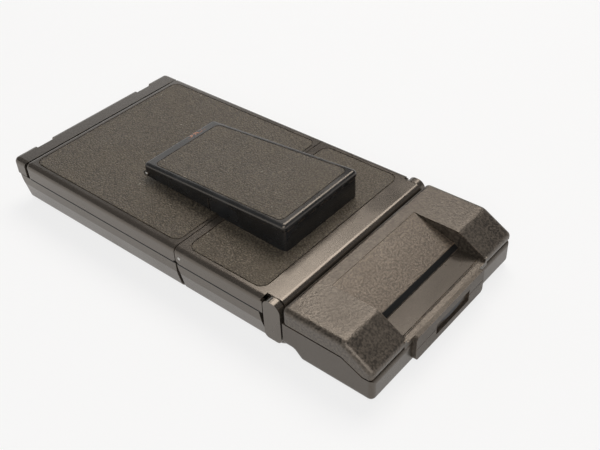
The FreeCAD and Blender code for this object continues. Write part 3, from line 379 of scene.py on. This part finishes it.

# %% [markdown]
# The let-in panels are leather cloth. Seen close, it is a field of worm-like pebbles about
# a millimetre long. Their tops are painted lighter and their valleys much darker,
# a painted highlight and painted shade, and the tops of a finer bump are lighter too.
# Larger pale clouds are smudges, and a few single specks are grit. They keep a wide panel from looking new.

# %% Leather cloth
LEATHER = (0.076, 0.064, 0.047)
DUST = (0.30, 0.28, 0.24, 1)
GRAIN = 1.25 * MM
FINE_GRAIN = 0.8 * MM
SMUDGE = 28 * MM
GRIT_SPACING = 2.6 * MM


def leather_cloth(name, colour, dust_amount):
    finish = new_finish(name, colour, roughness=0.48, specular=0.65)
    shader = principled(finish)
    shader.inputs["Specular Tint"].default_value = WARM_SHEEN
    hills = pick(finish, pebbles(finish, GRAIN), 0.0, 0.32)
    fine = noise(finish, FINE_GRAIN)
    clouds = noise(finish, SMUDGE, 5.0)
    # Painted highlight on the pebble tops and painted shade in the valleys.
    tone = lay_over(finish, hills, shade(colour, 0.12), shade(colour, 1.35))
    # The tops of the finer bump are made lighter.
    fine_bump_tops = pick(finish, fine, 0.45, 0.7, 0.0, 0.6)
    fine_tops_lightened = lay_over(finish, fine_bump_tops, tone, shade(colour, 2.4))
    smudges = pick(finish, clouds, 0.5, 0.8, 0.0, 0.3)
    smudged = lay_over(finish, smudges, fine_tops_lightened, shade(colour, 2.1))
    specks = pick(finish, noise(finish, GRIT_SPACING, 1.0), 0.785, 0.81, 0.0, dust_amount)
    paint(finish, lay_over(finish, specks, smudged, DUST))
    vary_roughness(finish, clouds, 0.3, 0.75, 0.43, 0.55)
    emboss(finish, hills, 0.8, 0.22 * MM)
    emboss(finish, fine, 0.5, 0.12 * MM)
    return finish


leather_black = leather_cloth("leather_black", LEATHER, dust_amount=0.8)
print("leather grain:", GRAIN / MM, "mm")

# %% [markdown]
# Some wear sits in one place only, such as a rubbed spot. Noise alone would scatter it everywhere.
# A band along one of the object's own axes fixes this, and two bands multiplied make a patch.

# %% Helper for a placed spot
def near_line(finish, axis, centre, reach):
    """1 at the centre along one axis, falling to 0 at reach on both sides."""
    place = add_node(finish, "ShaderNodeTexCoord")
    split = add_node(finish, "ShaderNodeSeparateXYZ")
    connect(finish, place.outputs["Object"], split.inputs["Vector"])
    away = add_node(finish, "ShaderNodeMath")
    away.operation = "SUBTRACT"
    connect(finish, split.outputs[axis], away.inputs[0])
    away.inputs[1].default_value = centre
    distance = add_node(finish, "ShaderNodeMath")
    distance.operation = "ABSOLUTE"
    connect(finish, away.outputs["Value"], distance.inputs[0])
    return pick(finish, distance.outputs["Value"], reach, reach * 0.4)


print("spot helper ready")

# %% [markdown]
# The viewfinder is a harder, glossier, cooler black than the body, with fine scratches along its length.
# A rubbed spot near the rear edge of its lid, where it is pushed down, has turned orange brown.
# The scratches are noise that is stretched along Y until it turns into threads.

# %% Viewfinder plastic
FINDER = (0.007, 0.009, 0.011)
FINDER_WORN = (0.20, 0.145, 0.10)
HAZE = 12 * MM
SCRATCH_WIDTH = 1.2 * MM
ALONG_Y = (1, 0.06, 1)

finder_black = new_finish("finder_black", FINDER, roughness=0.26, specular=0.9)
principled(finder_black).inputs["Specular Tint"].default_value = WARM_SHEEN
haze = noise(finder_black, HAZE, 5.0)
threads = noise(finder_black, SCRATCH_WIDTH, 2.0, ALONG_Y)
scratches = pick(finder_black, threads, 0.70, 0.76)
hazed = pick(finder_black, haze, 0.45, 0.8, 0.0, 0.5)
rubbed = lay_over(finder_black, hazed, shade(FINDER, 1.0), shade(FINDER, 3.0))
faint_scratches = times(finder_black, scratches, 0.35)
scratched = lay_over(finder_black, faint_scratches, rubbed, shade(FINDER, 7.0))
worn_finder = worn_edges(finder_black, scratched, FINDER_WORN, 0.8)
vary_roughness(finder_black, haze, 0.35, 0.75, 0.2, 0.34)
emboss(finder_black, scratches, 0.1, 0.02 * MM)
print("finish:", finder_black.name)

# %% [markdown]
# The rubbed spot is a patch from two bands. A bare patch would look stamped on,
# so noise breaks it up into scrapes, as years of thumbs would leave it.

# %% Rubbed spot on the viewfinder
SCUFF = (0.33, 0.11, 0.04, 1)
SCUFF_CENTRE = Vector((9.0, 42.2, 0)) * MM
SCUFF_REACH = Vector((7.0, 1.6, 0)) * MM
SCRAPE = 1.6 * MM

across = near_line(finder_black, "X", SCUFF_CENTRE.x, SCUFF_REACH.x)
along = near_line(finder_black, "Y", SCUFF_CENTRE.y, SCUFF_REACH.y)
spot = times(finder_black, across, along)
scrapes = pick(finder_black, noise(finder_black, SCRAPE, 4.0), 0.5, 0.56)
broken_spot = times(finder_black, spot, scrapes)
paint(finder_black, lay_over(finder_black, broken_spot, worn_finder, SCUFF))
print("rubbed spot at", [round(v / MM, 1) for v in SCUFF_CENTRE])

# %% [markdown]
# The plate in front of the step is smooth and bare, and the step itself is a strip of soot-black paint.
# Both are plain on the real object, so they get only the faintest life: a slow cloud in the roughness,
# and on the paint a fine dust that keeps it from being a hole.

# %% Nameplate and step strip
PLATE = (0.036, 0.030, 0.024)
STEP = (0.005, 0.005, 0.005)
STEP_DUST = 0.6 * MM

plate_satin = satin_plastic("plate_satin", PLATE, roughness=0.3, specular=0.5, index=1.45)
step_black = new_finish("step_black", STEP, roughness=0.55, specular=0.25)
step_dust = noise(step_black, STEP_DUST)
dusty = pick(step_black, step_dust, 0.5, 0.8)
paint(step_black, lay_over(step_black, dusty, shade(STEP, 1.0), shade(STEP, 2.6)))
emboss(step_black, step_dust, 0.2, 0.05 * MM)
print("finishes:", plate_satin.name, step_black.name)

# %% [markdown]
# Steel, brass and gold foil hide inside and under the camera. Turned and rolled metal has lines
# in one direction. A noise that is squeezed along two axes and long on the third draws them.

# %% Metals
BRUSH_LINE = 0.3 * MM
STAIN = 9 * MM
STEEL = (0.56, 0.55, 0.53)
BRASS = (0.72, 0.52, 0.24)
FOIL = (0.80, 0.58, 0.24)


def brushed_metal(name, colour, roughness, stretch):
    finish = new_finish(name, colour, roughness, metallic=1.0)
    lines = noise(finish, BRUSH_LINE, 2.0, stretch)
    stains = noise(finish, STAIN, 4.0)
    ridges = pick(finish, lines, 0.35, 0.65)
    clean = lay_over(finish, ridges, shade(colour, 0.86), shade(colour, 1.08))
    tarnish = pick(finish, stains, 0.5, 0.8, 0.0, 0.35)
    paint(finish, lay_over(finish, tarnish, clean, shade(colour, 0.55)))
    vary_roughness(finish, stains, 0.3, 0.7, roughness - 0.06, roughness + 0.1)
    emboss(finish, lines, 0.12, 0.03 * MM)
    return finish


steel = brushed_metal("steel", STEEL, 0.3, stretch=(0.05, 1, 1))
brass = brushed_metal("brass", BRASS, 0.32, stretch=(1, 1, 0.05))
foil_gold = brushed_metal("foil_gold", FOIL, 0.28, stretch=(1, 1, 1))
print("metals:", steel.name, brass.name, foil_gold.name)

# %% [markdown]
# The sound sensor's foil is pressed against a disc with ring grooves, and the focusing screen
# has rings too. They are too fine to model, so a wave texture in ring mode drives a bump
# about the middle of the part.

# %% Ring grooves
def ring_relief(finish, centre, spacing, strength, depth):
    """Concentric grooves about an upright axis through centre."""
    place = add_node(finish, "ShaderNodeTexCoord")
    shifted = add_node(finish, "ShaderNodeVectorMath")
    shifted.operation = "SUBTRACT"
    shifted.inputs[1].default_value = centre
    connect(finish, place.outputs["Object"], shifted.inputs[0])
    rings = add_node(finish, "ShaderNodeTexWave")
    rings.wave_type = "RINGS"
    rings.rings_direction = "Z"
    # One period of the wave texture spans 2 pi / 20 of its scaled coordinate.
    rings.inputs["Scale"].default_value = math.pi / (10 * spacing)
    connect(finish, shifted.outputs["Vector"], rings.inputs["Vector"])
    emboss(finish, rings.outputs["Fac"], strength, depth)


disc_low, disc_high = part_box("ranger_disc")
ring_relief(foil_gold, (disc_low + disc_high) / 2, spacing=0.8 * MM, strength=0.6, depth=0.1 * MM)
print("ring grooves on", foil_gold.name)

# %% [markdown]
# The mirrors are silvered on the front, so they are pure metal. A little dust dulls them in spots.
# Without it a mirror shows nothing of its own, and it would look like a hole.

# %% Mirrors
SILVER = (0.86, 0.87, 0.88)
MIRROR_FILM = (0.6, 0.6, 0.58, 1)
MIRROR_DUST = 1.8 * MM

silvered = new_finish("silvered", SILVER, roughness=0.04, metallic=1.0)
mirror_dust = noise(silvered, MIRROR_DUST, 3.0)
dull_spots = pick(silvered, mirror_dust, 0.6, 0.75, 0.0, 0.3)
paint(silvered, lay_over(silvered, dull_spots, (*SILVER, 1), MIRROR_FILM))
vary_roughness(silvered, mirror_dust, 0.4, 0.8, 0.03, 0.12)
print("finish:", silvered.name)

# %% [markdown]
# The lens and windows are clear moulded plastic or glass, and they let most light through.
# The lens has a violet coat against glare. The light meter's eye is smoked, so it passes little light.
# The focusing screen has fine rings like a flat lens, which is what makes a real one glow evenly.

# %% Glass and screen
CLEAR_INDEX = 1.49
LENS_GLASS = (0.80, 0.82, 0.90)
LENS_COAT = (0.72, 0.66, 1.0, 1)
WINDOW_CLEAR = (0.92, 0.93, 0.92)
SCREEN_CLEAR = (0.86, 0.88, 0.86)
SMOKED = (0.10, 0.10, 0.12)


def clear_part(name, colour, transmission, dust_size):
    finish = new_finish(name, colour, roughness=0.06)
    shader = principled(finish)
    shader.inputs["Transmission Weight"].default_value = transmission
    shader.inputs["IOR"].default_value = CLEAR_INDEX
    dust = noise(finish, dust_size, 3.0)
    vary_roughness(finish, dust, 0.45, 0.75, 0.04, 0.2)
    film = pick(finish, dust, 0.5, 0.8, 0.0, 0.4)
    paint(finish, lay_over(finish, film, shade(colour, 1.0), shade(colour, 0.8)))
    return finish


clear_lens = clear_part("clear_lens", LENS_GLASS, 0.85, 3 * MM)
principled(clear_lens).inputs["Coat Weight"].default_value = 0.6
principled(clear_lens).inputs["Coat Tint"].default_value = LENS_COAT
clear_window = clear_part("clear_window", WINDOW_CLEAR, 0.9, 2 * MM)
eye_dark = clear_part("eye_dark", SMOKED, 0.4, 2 * MM)
screen_clear = clear_part("screen_clear", SCREEN_CLEAR, 0.7, 2 * MM)
screen_low, screen_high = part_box("focusing_screen")
screen_middle = (screen_low + screen_high) / 2
ring_relief(screen_clear, screen_middle, spacing=0.9 * MM, strength=0.3, depth=0.08 * MM)
print("clear parts:", clear_lens.name, clear_window.name, screen_clear.name, eye_dark.name)

# %% [markdown]
# What is left is inside or small: matt black mouldings and sheet, the coated cloth of the bellows,
# and the red button. The cloth is the mattest thing on the camera,
# because stray light inside would spoil the picture.

# %% Inner blacks and the button
WEAR_CLOUD = 14 * MM
FILM = (0.018, 0.018, 0.019)
BELLOWS = (0.014, 0.014, 0.015)
BUTTON = (0.50, 0.035, 0.02)


def matt_finish(name, colour, roughness, grain_size, contrast, relief):
    finish = new_finish(name, colour, roughness)
    grain = noise(finish, grain_size, 3.0)
    wear = noise(finish, WEAR_CLOUD, 4.0)
    tips = pick(finish, grain, 0.35, 0.65)
    tone = lay_over(finish, tips, shade(colour, 1 - contrast), shade(colour, 1 + contrast))
    greyed = pick(finish, wear, 0.5, 0.8, 0.0, 0.3)
    paint(finish, lay_over(finish, greyed, tone, shade(colour, 1.8)))
    vary_roughness(finish, wear, 0.3, 0.7, roughness - 0.05, roughness + 0.08)
    emboss(finish, grain, relief, 0.08 * MM)
    return finish


film_black = matt_finish("film_black", FILM, 0.5, 0.5 * MM, contrast=0.25, relief=0.2)
bellows_black = matt_finish("bellows_black", BELLOWS, 0.78, 0.35 * MM, contrast=0.35, relief=0.4)
button_red = matt_finish("button_red", BUTTON, 0.32, 0.8 * MM, contrast=0.08, relief=0.08)
print("inner finishes:", film_black.name, bellows_black.name, button_red.name)

# %% [markdown]
# Each CAD part names the kind of material it is made of. Most take the finish of that kind,
# and a short list of exceptions has a finish of its own.

# %% Clothe the parts
finish_of_kind = {
    "moulded_black": pebbled_black,
    "satin_black": satin_black,
    "finder_black": finder_black,
    "leather_black": leather_black,
    "steel": steel,
    "brass": brass,
    "silvered": silvered,
    "clear": clear_window,
    "bellows_black": bellows_black,
    "foil_gold": foil_gold,
    "button_red": button_red,
    "film_black": film_black,
}
finish_of_part = {
    "ramp_plate": ramp_black,
    "nameplate": plate_satin,
    "block_lower_shell": lower_satin,
    "contact_boss": boss_black,
    "step_strip": step_black,
    "front_lens": clear_lens,
    "eye_lens": clear_lens,
    "focusing_screen": screen_clear,
    "light_eye": eye_dark,
}
for entry in frame["record"]["subparts"]:
    name = entry["node"]
    part = frame["nodes"][name]
    part.data.materials.clear()
    part.data.materials.append(finish_of_part.get(name, finish_of_kind[entry["material_slot"]]))
print("clothed", len(frame["nodes"]), "parts")

# %% [markdown]
# The bellows is a bag of thin coated cloth that lies squeezed between the lower body and the rear cover.
# A box would do while the camera is closed, but when it opens the bag has to fan out like an accordion.
# So the folds are modelled: rings of corners that step in and out, joined by strips of cloth.

# %% Helper for pleated cloth
CLOTH = 0.12 * MM
OUTER_FOLD_INSET = 0.2 * MM
LONG_EDGE = 20 * MM
CUTS_PER_LONG_EDGE = 6


def pleated_walls(low, high, pleats, depth):
    """Left, rear and right walls of folds between two corners of a box, as a bmesh of thin cloth."""
    shape = bmesh.new()
    rings = []
    for step in range(2 * pleats + 1):
        height = low.z + (high.z - low.z) * step / (2 * pleats)
        inset = OUTER_FOLD_INSET if step % 2 else depth
        side = high.x - inset
        rear = high.y - inset
        corners = ((-side, low.y), (-side, rear), (side, rear), (side, low.y))
        rings.append([shape.verts.new((x, y, height)) for x, y in corners])
    for lower, upper in zip(rings, rings[1:]):
        for a, b in ((0, 1), (1, 2), (2, 3)):
            shape.faces.new((lower[a], lower[b], upper[b], upper[a]))
    long_edges = [e for e in shape.edges if e.calc_length() > LONG_EDGE]
    bmesh.ops.subdivide_edges(shape, edges=long_edges, cuts=CUTS_PER_LONG_EDGE, use_grid_fill=True)
    bmesh.ops.solidify(shape, geom=shape.faces[:], thickness=CLOTH)
    return shape


def cloth_piece(name, shape):
    mesh = bpy.data.meshes.new(name)
    shape.to_mesh(mesh)
    shape.free()
    mesh.materials.append(bellows_black)
    piece = bpy.data.objects.new(name, mesh)
    bpy.context.scene.collection.objects.link(piece)
    print(name, len(mesh.polygons), "faces")
    return piece


print("pleat helper ready")

# %% [markdown]
# The bag has three walls: left, right and rear. Inner corners of the folds lie 3.6 mm in from the outer
# ones, which leaves the film its room.

# %% Bellows
PLEATS = 10
PLEAT_DEPTH = 3.6 * MM
BAG_FRONT = 1.0 * MM
HALF_WAY = 50 * MM
bag_low, bag_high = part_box("bellows")
bag_low.y = BAG_FRONT
bag = cloth_piece("bellows_bag", pleated_walls(bag_low, bag_high, PLEATS, PLEAT_DEPTH))
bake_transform(bag, "base", "rear_cover", start=(0, HALF_WAY, bag_low.z), end=(0, HALF_WAY, bag_high.z))
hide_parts("bellows")

# %% [markdown]
# Pin ends are small, yet they tell the eye how big a thing is. Each one is a profile turned about its axis,
# as it would be on a lathe. A scaled sphere would be quicker, but it has no rim and no flat seat.

# %% Helper for turned heads
def turned(profile, segments=32):
    """A mesh turned about Z from (radius, height) pairs. A radius of 0 gives one point on the axis."""
    shape = bmesh.new()
    rows = []
    for radius, height in profile:
        if radius == 0:
            rows.append([shape.verts.new((0, 0, height))])
            continue
        angles = [2 * math.pi * i / segments for i in range(segments)]
        rows.append([shape.verts.new((radius * math.cos(a), radius * math.sin(a), height)) for a in angles])
    for inner, outer in zip(rows, rows[1:]):
        for i in range(segments):
            j = (i + 1) % segments
            on_inner = [inner[i % len(inner)], inner[j % len(inner)]]
            on_outer = [outer[i % len(outer)], outer[j % len(outer)]]
            corners = [on_inner[0], on_outer[0], on_outer[1], on_inner[1]]
            shape.faces.new(list(dict.fromkeys(corners)))
    bmesh.ops.recalc_face_normals(shape, faces=shape.faces[:])
    return shape


def place_piece(name, shape, finish, turn, where, body):
    """Turns a bmesh into an object that rides on a body."""
    mesh = bpy.data.meshes.new(name)
    placing = Matrix.Translation(where) @ turn.to_4x4()
    bmesh.ops.transform(shape, matrix=placing, verts=shape.verts[:])
    shape.to_mesh(mesh)
    shape.free()
    mesh.materials.append(finish)
    piece = bpy.data.objects.new(name, mesh)
    bpy.context.scene.collection.objects.link(piece)
    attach(piece, body)


def in_millimetres(profile):
    return [(radius * MM, height * MM) for radius, height in profile]


SIDES = ((-1, "left"), (1, "right"))
print("turning helper ready")

# %% [markdown]
# A small bright pin end shows on each side just in front of the seam between the covers.
# It is the end of the hinge that joins them, and it rides on the front cover.

# %% Pin ends at the seam
PIN_HEAD = [(0, 0.28), (0.45, 0.26), (0.75, 0.12), (0.8, 0.0), (0.8, -0.3), (0, -0.3)]
SEAM_PIN_SIDE = 51.9
SEAM_PIN_Y = -6.6
SEAM_PIN_Z = 20.2
for side, word in SIDES:
    shape = turned(in_millimetres(PIN_HEAD))
    outward = Matrix.Rotation(side * math.pi / 2, 3, "Y")
    where = Vector((side * SEAM_PIN_SIDE, SEAM_PIN_Y, SEAM_PIN_Z)) * MM
    place_piece("seam_pin_" + word, shape, steel, outward, where, "front_cover")
print("pin ends:", len(SIDES))

# %% [markdown]
# A black line runs along both sides where the covers close on the lower body.
# On the real camera it is a narrow gap that lies in shade. A painted line would turn blotchy at the edges,
# so a thin, near-black rounded bead, shaped like a seal, lies in the gap as a painted shadow that darkens
# it.

# %% Painted gap shadow
GAP_SHADOW_SIDE = 52.0 * MM
GAP_SHADOW_HEIGHT = 16.45 * MM
GAP_SHADOW_HALF_DEPTH = 0.10 * MM
GAP_SHADOW_HALF_HEIGHT = 0.36 * MM
GAP_SHADOW_TAPER = 0.5 * MM
GAP_SHADOW_TIP = 0.3
BEAD_SIDES = 12
GAP_SHADOW = (0.004, 0.004, 0.004)
# The bead's near-black matt finish is a painted shadow for the gap between covers and lower body.
gap_shadow_black = matt_finish("gap_shadow_black", GAP_SHADOW, 0.7, 0.4 * MM, contrast=0.4, relief=0.2)


def gap_shadow_bead(side, start, end):
    """A rounded bead along Y whose ends taper."""
    shape = bmesh.new()
    stations = ((start, GAP_SHADOW_TIP), (start + GAP_SHADOW_TAPER, 1.0), (end - GAP_SHADOW_TAPER, 1.0), (end, GAP_SHADOW_TIP))
    rows = []
    for y, size in stations:
        ring = []
        for i in range(BEAD_SIDES):
            a = 2 * math.pi * i / BEAD_SIDES
            x = side * GAP_SHADOW_SIDE + GAP_SHADOW_HALF_DEPTH * size * math.cos(a)
            z = GAP_SHADOW_HEIGHT + GAP_SHADOW_HALF_HEIGHT * size * math.sin(a)
            ring.append(shape.verts.new((x, y, z)))
        rows.append(ring)
    for near, far in zip(rows, rows[1:]):
        for i in range(BEAD_SIDES):
            j = (i + 1) % BEAD_SIDES
            shape.faces.new((near[i], near[j], far[j], far[i]))
    shape.faces.new(rows[0])
    shape.faces.new(rows[-1])
    bmesh.ops.recalc_face_normals(shape, faces=shape.faces[:])
    return shape


print("seal bead sides:", BEAD_SIDES)

# %% [markdown]
# Each side takes a rear and a front length, with a break at the seam between the covers.
# They are made where they lie, so nothing is turned or moved. They ride on the pieces below the gap,
# so that they stay behind when the camera opens.

# %% Place the painted gap shadow
REAR_GAP_SHADOW = (-3.4 * MM, 99.5 * MM)
FRONT_GAP_SHADOW = (-53.5 * MM, -4.8 * MM)
unturned = Matrix.Identity(3)
# Each bead is a painted shadow laid in the gap.
for side, word in SIDES:
    rear = gap_shadow_bead(side, *REAR_GAP_SHADOW)
    place_piece("gap_shadow_rear_" + word, rear, gap_shadow_black, unturned, Vector(), "base")
    fore = gap_shadow_bead(side, *FRONT_GAP_SHADOW)
    place_piece("gap_shadow_front_" + word, fore, gap_shadow_black, unturned, Vector(), "film_door")
print("seal beads:", 2 * len(SIDES))

# %% [markdown]
# The eyepiece flap turns on a steel pin at the viewfinder's thin end. The pin's end is domed and sits in
# a small dark ring, so a dished washer goes round it in the viewfinder's own black.

# %% Pin ends of the viewfinder
DOME = [(0, 0.42), (0.4, 0.38), (0.75, 0.22), (0.9, 0.0), (0.9, -0.3), (0, -0.3)]
WASHER = [(0.95, -0.2), (0.95, 0.05), (1.3, 0.22), (1.55, 0.16), (1.6, -0.2), (0.95, -0.2)]
eyepiece_low, eyepiece_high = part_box("eyepiece_pin")
pin_y = (eyepiece_low.y + eyepiece_high.y) / 2
pin_z = (eyepiece_low.z + eyepiece_high.z) / 2
PIN_SEAT = 23.95 * MM
pin_body = body_of(frame["nodes"]["eyepiece_pin"])
for side, word in SIDES:
    where = Vector((side * PIN_SEAT, pin_y, pin_z))
    outward = Matrix.Rotation(side * math.pi / 2, 3, "Y")
    dome = turned(in_millimetres(DOME))
    place_piece("finder_pin_" + word, dome, steel, outward, where, "finder_cap")
    washer = turned(in_millimetres(WASHER))
    washer_name = "finder_washer_" + word
    place_piece(washer_name, washer, finder_black, outward, where, "finder_cap")
print("viewfinder pin rides on", pin_body)

# %% [markdown]
# The floor is a plain pale sheet, far larger than the camera, and its rim curves up into a low backdrop,
# so that no horizon shows when the camera is looked at from the side.
# A plane and a wall would meet in a hard line, so the same turning helper makes both from one profile.

# %% Floor shape
FLOOR_REACH = 3.0
FLOOR_DROP = 0.2 * MM
SWEEP_RADIUS = 0.7
SWEEP_HEIGHT = 1.0
SWEEP_STEPS = 8
SWEEP_SEGMENTS = 96
profile = [(0, 0)]
for step in range(SWEEP_STEPS + 1):
    angle = math.pi / 2 * step / SWEEP_STEPS
    radius = FLOOR_REACH + SWEEP_RADIUS * math.sin(angle)
    rise = SWEEP_RADIUS * (1 - math.cos(angle))
    profile.append((radius, rise))
profile.append((FLOOR_REACH + SWEEP_RADIUS, SWEEP_HEIGHT))
sweep_shape = turned(profile, SWEEP_SEGMENTS)
floor_mesh = bpy.data.meshes.new("floor")
sweep_shape.to_mesh(floor_mesh)
sweep_shape.free()
floor_mesh.shade_smooth()
floor = bpy.data.objects.new("floor", floor_mesh)
floor.location.z = -FLOOR_DROP
bpy.context.scene.collection.objects.link(floor)
print("floor reaches", FLOOR_REACH, "m")

# %% [markdown]
# To the lens, to glossy surfaces and to glass the floor shows mostly as white, through the Light Path node.
# The rest of its shading is real, so it still takes the camera's soft shadow.

# %% Floor finish
WHITE_SHARE = 0.75
PALE = (0.88, 0.88, 0.88)
floor_white = new_finish("floor_white", PALE, roughness=0.9, specular=0.2)
floor_mesh.materials.append(floor_white)


def seen_directly(tree):
    """1 for rays from the lens, from glossy surfaces and through glass."""
    path = tree.nodes.new("ShaderNodeLightPath")
    total = path.outputs["Is Camera Ray"]
    for kind in ("Is Glossy Ray", "Is Transmission Ray"):
        larger = tree.nodes.new("ShaderNodeMath")
        larger.operation = "MAXIMUM"
        tree.links.new(total, larger.inputs[0])
        tree.links.new(path.outputs[kind], larger.inputs[1])
        total = larger.outputs["Value"]
    return total


floor_tree = floor_white.node_tree
glow = floor_tree.nodes.new("ShaderNodeEmission")
glow.inputs["Strength"].default_value = 1.0
floor_mix = floor_tree.nodes.new("ShaderNodeMixShader")
share = times(floor_white, seen_directly(floor_tree), WHITE_SHARE)
connect(floor_white, share, floor_mix.inputs["Fac"])
connect(floor_white, principled(floor_white).outputs["BSDF"], floor_mix.inputs[1])
connect(floor_white, glow.outputs["Emission"], floor_mix.inputs[2])
floor_output = floor_tree.nodes["Material Output"]
connect(floor_white, floor_mix.outputs["Shader"], floor_output.inputs["Surface"])
print("white share of the floor:", WHITE_SHARE)

# %% [markdown]
# The room itself gives a weak, even light from all round. It is kept low on purpose: black plastic shows
# what it reflects, and a bright room would turn every black surface grey.

# %% World
ROOM_STRENGTH = 0.18
ROOM_COLOUR = (0.96, 0.97, 1.0, 1)
world = bpy.data.worlds.new("room")
bpy.context.scene.world = world
world.use_nodes = True
room = world.node_tree.nodes["Background"]
room.inputs["Color"].default_value = ROOM_COLOUR
room.inputs["Strength"].default_value = ROOM_STRENGTH
print("room strength", ROOM_STRENGTH)

# %% [markdown]
# The lamps follow the photograph: one broad, warm window high on the right behind the camera body.
# Its lower edge is placed so that flat tops catch it on the left and lose it on the right,
# which gives the front strip its long fade. A dim, cool wall low at the back greys the far end,
# and a third soft lamp opens the shadows on the near side.

# %% Lamps
def soft_lamp(name, azimuth, elevation, away, size, watts, colour):
    """A rectangular lamp aimed at the camera body. Degrees, and azimuth runs from +Y towards +X."""
    a = math.radians(azimuth)
    e = math.radians(elevation)
    direction = Vector((math.sin(a) * math.cos(e), math.cos(a) * math.cos(e), math.sin(e)))
    place = direction * away
    data = bpy.data.lights.new(name, "AREA")
    data.shape = "RECTANGLE"
    data.size = size[0]
    data.size_y = size[1]
    data.energy = watts
    data.color = colour
    lamp = bpy.data.objects.new(name, data)
    lamp.location = place
    lamp.rotation_mode = "QUATERNION"
    lamp.rotation_quaternion = (LOOK_AT - place).to_track_quat("-Z", "Y")
    bpy.context.scene.collection.objects.link(lamp)
    print(name, [round(v, 3) for v in place])


WARM_LIGHT = (1.0, 0.95, 0.89)
COOL_LIGHT = (0.92, 0.96, 1.0)
SOFT_LIGHT = (1.0, 0.98, 0.96)
soft_lamp("window", azimuth=70, elevation=59, away=1.3,
          size=(0.80, 0.70), watts=8.8, colour=WARM_LIGHT)
soft_lamp("pale_wall", azimuth=28, elevation=22, away=2.0,
          size=(1.4, 0.6), watts=2.6, colour=COOL_LIGHT)
soft_lamp("near_fill", azimuth=-132, elevation=40, away=1.7,
          size=(1.2, 1.2), watts=13.0, colour=SOFT_LIGHT)

# %% View transform
bpy.context.scene.view_settings.view_transform = "Standard"
